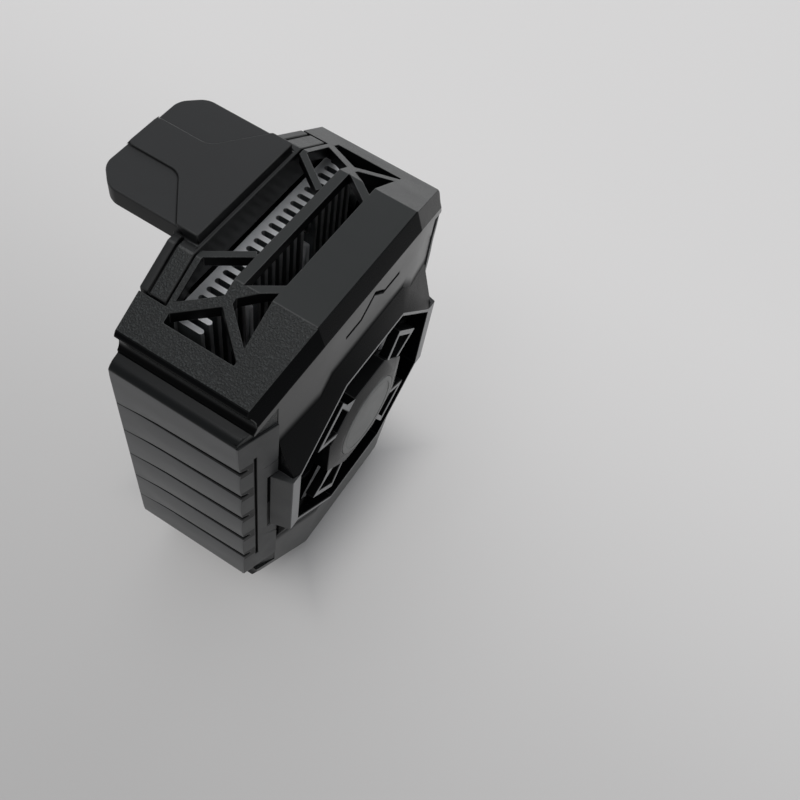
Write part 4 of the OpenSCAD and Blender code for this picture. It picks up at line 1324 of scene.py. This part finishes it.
@dataclass
class ColdStack:
    """The finned heat sink, the thermoelectric module and the cold plate."""

    fins: int = 21
    pitch: float = 1.75
    fin_t: float = 0.85
    base_back: float = -5.2
    base_front: float = -6.2
    seat: float = -6.7
    tip: float = -10.3
    half_h: float = 28.5
    screw_x: float = 7.0
    screw_z: float = 24.0
    pocket_r: float = 1.6
    hole_r: float = 0.7
    fillet_steps: int = 5
    edge: float = 0.12
    clear: float = 1.0

    def build(self) -> None:
        """Makes the heat sink and dresses the stack under it."""
        first = -(self.fins - 1) / 2 * self.pitch
        fin = self.fin().to_object(Finish.SINK)
        fins = row("heat_sink_fins", self.fins, (first, 0.0, 0.0), (self.pitch, 0.0, 0.0), Finish.SINK)
        comb = fins.run(fin)
        self.weld(comb)
        r, low, high = self.pocket_r, self.seat, self.tip - self.clear
        pocket = Piece("pocket").lathe([(0.0, low), (r, low), (r, high), (0.0, high)], 24)
        back = self.base_back + self.clear
        r, high = self.hole_r, self.tip
        hole = Piece("hole").lathe([(0.0, back), (r, back), (r, high), (0.0, high)], 24)
        for shape in (pocket, hole):
            corners = four_corners("sink_" + shape.name, self.screw_x, self.screw_z, Finish.SINK)
            cut(comb, corners.run(shape.to_object(Finish.SINK)))
        seat(comb, Body.COOLER, "aluminium", "heat_sink")
        for node, slot, finish in (
            ("cold_plate", "aluminium", Finish.PLATE),
            ("contact_pad", "silicone", Finish.SILICONE),
            ("insulation_frame", "foam", Finish.FOAM),
        ):
            Piece.copy_of(node).soften(self.edge, 3).place(Body.COOLER, slot, finish, node)
        paint("peltier_plates", Finish.CERAMIC)
        paint("peltier_pellets", Finish.PELLET)

    def fin(self) -> Piece:
        """One pitch of the extrusion: base, fin, round root and round tip."""
        piece = Piece("heat_sink_form")
        half, gap = self.fin_t / 2, (self.pitch - self.fin_t) / 2
        outline = [(-self.pitch / 2, self.base_back), (self.pitch / 2, self.base_back)]
        steps = self.fillet_steps
        for k in range(steps + 1):
            a = math.pi / 2 * k / steps
            outline.append((half + gap - gap * math.sin(a), self.base_front - gap * (1 - math.cos(a))))
        for k in range(2 * steps + 1):
            a = math.pi * k / (2 * steps)
            outline.append((half * math.cos(a), self.tip + half - half * math.sin(a)))
        for k in range(steps + 1):
            a = math.pi / 2 * (1 - k / steps)
            outline.append((-half - gap + gap * math.sin(a), self.base_front - gap * (1 - math.cos(a))))
        ends = [
            [piece.bm.verts.new((x * MM, y * MM, z * MM)) for x, y in outline]
            for z in (-self.half_h, self.half_h)
        ]
        count = len(outline)
        for k in range(count):
            m = (k + 1) % count
            piece.bm.faces.new((ends[0][k], ends[0][m], ends[1][m], ends[1][k]))
        piece.bm.faces.new(ends[0][::-1])
        piece.bm.faces.new(ends[1])
        bmesh.ops.remove_doubles(piece.bm, verts=piece.bm.verts, dist=1e-7)
        bmesh.ops.recalc_face_normals(piece.bm, faces=piece.bm.faces)
        return piece

    def weld(self, made: bpy.types.Object) -> None:
        """Joins the pitches of the extrusion into one solid."""
        bm = bmesh.new()
        bm.from_mesh(made.data)
        bmesh.ops.remove_doubles(bm, verts=bm.verts, dist=1e-6)
        walls = [e for e in bm.edges if len(e.link_faces) > 2]
        inner = {f for e in walls for f in e.link_faces if abs(f.normal.x) > 0.99 and self.shared(f)}
        bmesh.ops.delete(bm, geom=list(inner), context="FACES")
        for face in bm.faces:
            face.smooth = True
        for edge in bm.edges:
            edge.smooth = edge.calc_face_angle(0.0) < math.radians(40.0)
        bm.to_mesh(made.data)
        bm.free()

    def shared(self, face: bmesh.types.BMFace) -> bool:
        """Whether a face lies between two pitches of the extrusion."""
        return all(len(e.link_faces) > 2 for e in face.edges)


@dataclass
class Clamp:
    """The sliding upper jaw, the fixed lower jaw, their pads and springs."""

    edge: float = 0.26
    corner: float = 1.1
    plate_low: float = 33.0
    bar_front: float = -2.0
    wing_x: float = 10.6
    wing_top: float = 36.0
    wing_rear: float = -2.4
    ribs: int = 7
    rib_pitch: float = 1.35
    rib_w: float = 0.7
    rib_h: float = 0.3
    rib_x: float = 8.2
    rib_setback: float = 0.6
    rib_root: float = 0.02
    rib_edge: float = 0.14
    pad_edge: float = 0.15
    top_share: float = 0.4
    spring_x: float = 16.25
    spring_y: float = -3.7
    spring_low: float = -26.2
    spring_high: float = -14.0
    spring_r: float = 1.0
    wire_r: float = 0.22
    turns: float = 9.0

    def build(self) -> None:
        """Makes the jaws, pads and springs."""
        upper = Piece.copy_of("upper_jaw")
        upper.soften(self.corner, 5, 30.0, self.plate_corner)
        upper.soften(self.edge, 3)
        upper.place(Body.CLAMP, "jaw", Finish.JAW, "upper_jaw", self.jaw_zone)
        round_off("lower_jaw", "jaw", Finish.JAW, self.edge)
        self.build_pad("upper_jaw_pad", Body.CLAMP, -1)
        self.build_pad("lower_jaw_pad", Body.COOLER, 1)
        self.build_springs()

    def plate_corner(self, edge: bmesh.types.BMEdge) -> bool:
        """Whether an edge is an upright corner of the upper plate, past the case."""
        first, second = (v.co for v in edge.verts)
        upright = abs((first - second).normalized().z) > 0.99
        return upright and min(first.z, second.z) > self.plate_low * MM and first.y > 0.0

    def jaw_zone(self, normal: Vector, middle: Vector) -> Finish:
        """Finish of a face of the upper jaw: grained wings, a front black with painted shade, and darker
        sides.
        """
        x, y, z = abs(middle.x) / MM, middle.y / MM, middle.z / MM
        if normal.y < -FACING and y < self.bar_front:
            return Finish.INNER
        if x > self.wing_x and z < self.wing_top and y < self.wing_rear and normal.z > FACING:
            return Finish.GRAINED
        return Finish.JAW if abs(normal.z) > self.top_share else Finish.JAW_SIDE

    def build_pad(self, node: str, body: Body, side: int) -> None:
        """Makes one pad with ribs across its gripping face.

        Args:
            node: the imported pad.
            body: body that it rides on.
            side: 1 where it grips upwards, -1 downwards.
        """
        low, high = (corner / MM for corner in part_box(node))
        face = high.z if side > 0 else low.z
        sole = face - side * self.rib_h
        pad = Piece.copy_of(node)
        pad.move(lambda p: Vector((p.x, p.y, sole * MM)) if abs(p.z - face * MM) < 1e-5 else p)
        base = pad.soften(self.pad_edge).to_object(Finish.PAD)
        half = self.rib_w / 2
        foot, top = min(sole, face) - self.rib_root, max(sole, face)
        rib = Piece(node + "_ribs").box((-self.rib_x, -half, foot), (self.rib_x, half, top))
        rib.soften(self.rib_edge, 2)
        middle = (low.y + high.y) / 2 - (self.ribs - 1) / 2 * self.rib_pitch - self.rib_setback
        ribs = row(node + "_row", self.ribs, (0.0, middle, 0.0), (0.0, self.rib_pitch, 0.0), Finish.PAD)
        seat(join(base, ribs.run(rib.to_object(Finish.PAD))), body, "jaw_rubber", node)

    def build_springs(self) -> None:
        """Makes the two clamp springs."""
        low, high = self.spring_low + self.wire_r, self.spring_high - self.wire_r
        posts = bpy.data.meshes.new("clamp_springs_form")
        posts.from_pydata([(s * self.spring_x * MM, self.spring_y * MM, low * MM) for s in (-1, 1)], [], [])
        made = added("clamp_springs_form", posts)
        wound("spring_wire", self.turns, self.spring_r, high - low, self.wire_r, Finish.STEEL).run(made)
        for face in made.data.polygons:
            face.use_smooth = True
        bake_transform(made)
        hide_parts("clamp_springs")
        LOG.info("%s stretches with the clamp", made.name)


@dataclass
class Electronics:
    """The power socket, the control board, its parts and the leads."""

    edge: float = 0.08

    def build(self) -> None:
        """Makes the socket and dresses the rest."""
        round_off("usb_socket", "steel", Finish.STEEL, self.edge)
        round_off("board_components", "chip", Finish.CHIP, self.edge)
        paint("control_board", Finish.BOARD)
        paint("peltier_leads", Finish.RED_LEAD)
        paint("fan_leads", Finish.BLACK_LEAD)


@dataclass
class Screws:
    """The pan-head screws, one tree for each set of four."""

    head_r: float = 1.3
    head_h: float = 0.8
    shank_r: float = 0.7
    slot_w: float = 0.4
    slot_deep: float = 0.45
    thread: float = 0.35
    thread_deep: float = 0.1

    def build(self) -> None:
        """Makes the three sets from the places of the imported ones."""
        for node in ("case_screws", "sink_screws", "fan_screws"):
            low, high = (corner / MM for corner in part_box(node))
            screw = self.screw(node, high.y - low.y)
            flip = node == "case_screws"
            head = high.y if flip else low.y
            for v in screw.data.vertices:
                v.co.y = head * MM - v.co.y if flip else head * MM + v.co.y
            if flip:
                screw.data.flip_normals()
            half_x, half_z = high.x - self.head_r, high.z - self.head_r
            finish = Finish.BLACK_STEEL if node == "sink_screws" else Finish.STEEL
            made = four_corners(node + "_places", half_x, half_z, finish).run(screw)
            seat(made, Body.COOLER, "steel", node)

    def screw(self, node: str, length: float) -> bpy.types.Object:
        """One screw along +Y from its head's outer face.

        Args:
            node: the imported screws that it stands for.
            length: length over all in millimetres.

        Returns:
            The object.
        """
        r, h, s = self.head_r, self.head_h, self.shank_r
        profile = [(0.0, 0.0), (r * 0.62, 0.04), (r - 0.18, 0.16), (r, 0.4), (r, h), (s, h)]
        inner, tip = s - self.thread_deep, length - self.thread
        for k in range(int((length - h - 0.6) / self.thread)):
            y = h + 0.2 + k * self.thread
            profile += [(inner, y), (s, y + 0.16)]
        profile += [(inner, tip), (s - 0.3, length), (0.0, length)]
        made = Piece(node + "_form").lathe(profile, 32).to_object(Finish.STEEL)
        reach, half = r * 0.66, self.slot_w / 2
        for x, z in ((reach, half), (half, reach)):
            slot = Piece("slot").box((-x, -1.0, -z), (x, self.slot_deep, z))
            cut(made, slot.to_object(Finish.STEEL))
        return made


@dataclass
class Studio:
    """The pale floor, the soft light and the camera."""

    floor_z: float = -35.0
    eye: Corner = (-69.38, -57.07, 128.37)
    turn: tuple[float, float, float, float] = (0.84705313, 0.20308196, -0.18350312, -0.45561531)
    lens: float = 41.58
    sensor: float = 36.0
    near: float = 0.005
    floor_tone: Colour = (0.82, 0.81, 0.805)
    painted_falloff_dim: float = 0.54
    painted_falloff_span: tuple[float, float] = (-0.12, 0.10)
    floor_reach: float = 3.0
    floor_glow: float = 0.5
    glow_power: float = 0.92
    shade_half: tuple[float, float] = (0.012, 0.0125)
    shade_y: float = -0.0125
    shade_edge: tuple[float, float] = (-0.002, 0.013)
    room_dark: float = 0.22
    room_light: float = 0.74
    room_span: tuple[float, float] = (-0.9, 0.9)
    room_tone: Colour = (0.95, 0.97, 1.0)

    def build(self) -> None:
        """Makes the floor, the lights, the world and the camera."""
        self.build_floor()
        self.build_camera()
        self.lamp("window", (520.0, 110.0, 120.0), 460.0, 0.58)
        self.lamp("fill", (-350.0, 110.0, 620.0), 220.0, 0.46)
        self.lamp("overhead", (40.0, 160.0, 620.0), 400.0, 0.65)
        self.build_world()

    def build_floor(self) -> None:
        """Makes a wide seamless floor, with a painted falloff that dims it away from the window; its glow
        lightens the rendered shadow, except round the cooler's footprint, where the glow is held back as a
        painted contact shadow.
        """
        s = Surface("floor")
        cloud = s.noise(180.0, 2.0)
        across, along = s.along("X"), s.along("Y")
        # painted falloff: dimmer towards the left, away from the window
        colour = s.shades(self.floor_tone, self.painted_falloff_dim, 1.0, across.over(*self.painted_falloff_span))
        colour = s.blend(colour, scaled(self.floor_tone, 0.95), cloud * 0.3)
        s.put({"Base Color": colour, "Roughness": 0.75, "Specular IOR Level": 0.2})
        seen = s.node("ShaderNodeLightPath", output="Is Camera Ray")
        for ray in ("Is Glossy Ray", "Is Transmission Ray"):
            seen = seen.at_least(s.node("ShaderNodeLightPath", output=ray))
        # glow held back round the footprint: a painted contact shadow
        half_x, half_y = self.shade_half
        out_x, out_y = abs(across) - half_x, abs(along - self.shade_y) - half_y
        away = out_x.at_least(out_y).over(*self.shade_edge)
        glow = s.node("ShaderNodeEmission", inputs={"Color": colour, "Strength": self.glow_power})
        lit = Wire(s, s.shader.outputs[0])
        mixed = s.node("ShaderNodeMixShader", inputs={0: seen * away * self.floor_glow, 1: lit, 2: glow})
        s.tree.links.new(mixed.socket, s.tree.nodes["Material Output"].inputs["Surface"])
        mesh = bpy.data.meshes.new("floor")
        far, z = self.floor_reach, self.floor_z * MM
        mesh.from_pydata([(-far, -far, z), (far, -far, z), (far, far, z), (-far, far, z)], [], [(0, 1, 2, 3)])
        mesh.materials.append(s.material)
        added("floor", mesh)

    def build_camera(self) -> None:
        """Sets the camera where the photograph was taken from."""
        data = bpy.data.cameras.new("camera")
        data.lens, data.sensor_width, data.clip_start = self.lens, self.sensor, self.near
        made = added("camera", data)
        made.location = Vector(self.eye) * MM
        made.rotation_mode = "QUATERNION"
        made.rotation_quaternion = Quaternion(self.turn)
        bpy.context.scene.camera = made

    def lamp(self, name: str, place: Corner, size: float, power: float) -> None:
        """Adds a square soft light aimed at the cooler.

        Args:
            name: its name.
            place: where it hangs, in millimetres.
            size: its side in millimetres.
            power: its power in watts.
        """
        data = bpy.data.lights.new(name, "AREA")
        data.size, data.energy = size * MM, power
        made = added(name, data)
        made.location = Vector(place) * MM
        made.rotation_mode = "QUATERNION"
        made.rotation_quaternion = (-made.location).to_track_quat("-Z", "Y")

    def build_world(self) -> None:
        """Fills the room with an even light, dimmer at the left."""
        world = bpy.data.worlds.new("room")
        world.use_nodes = True
        room = Tree(world.node_tree)
        toward = room.node("ShaderNodeTexCoord", output="Generated")
        right = room.node("ShaderNodeSeparateXYZ", inputs={0: toward}, output="X").over(*self.room_span)
        back = world.node_tree.nodes["Background"]
        room.feed(back.inputs["Color"], self.room_tone)
        room.feed(back.inputs["Strength"], self.room_dark + right * (self.room_light - self.room_dark))
        bpy.context.scene.world = world


def main() -> None:
    """Builds every sub-assembly and the studio."""
    logging.basicConfig(level=logging.INFO, format="%(name)s: %(message)s")
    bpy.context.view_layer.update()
    bpy.context.scene.view_settings.view_transform = "Standard"
    for part in (Studio(), Case(), FanFace(), Fan(), ColdStack(), Clamp(), Electronics(), Screws()):
        part.build()


if __name__ == "__main__":
    main()
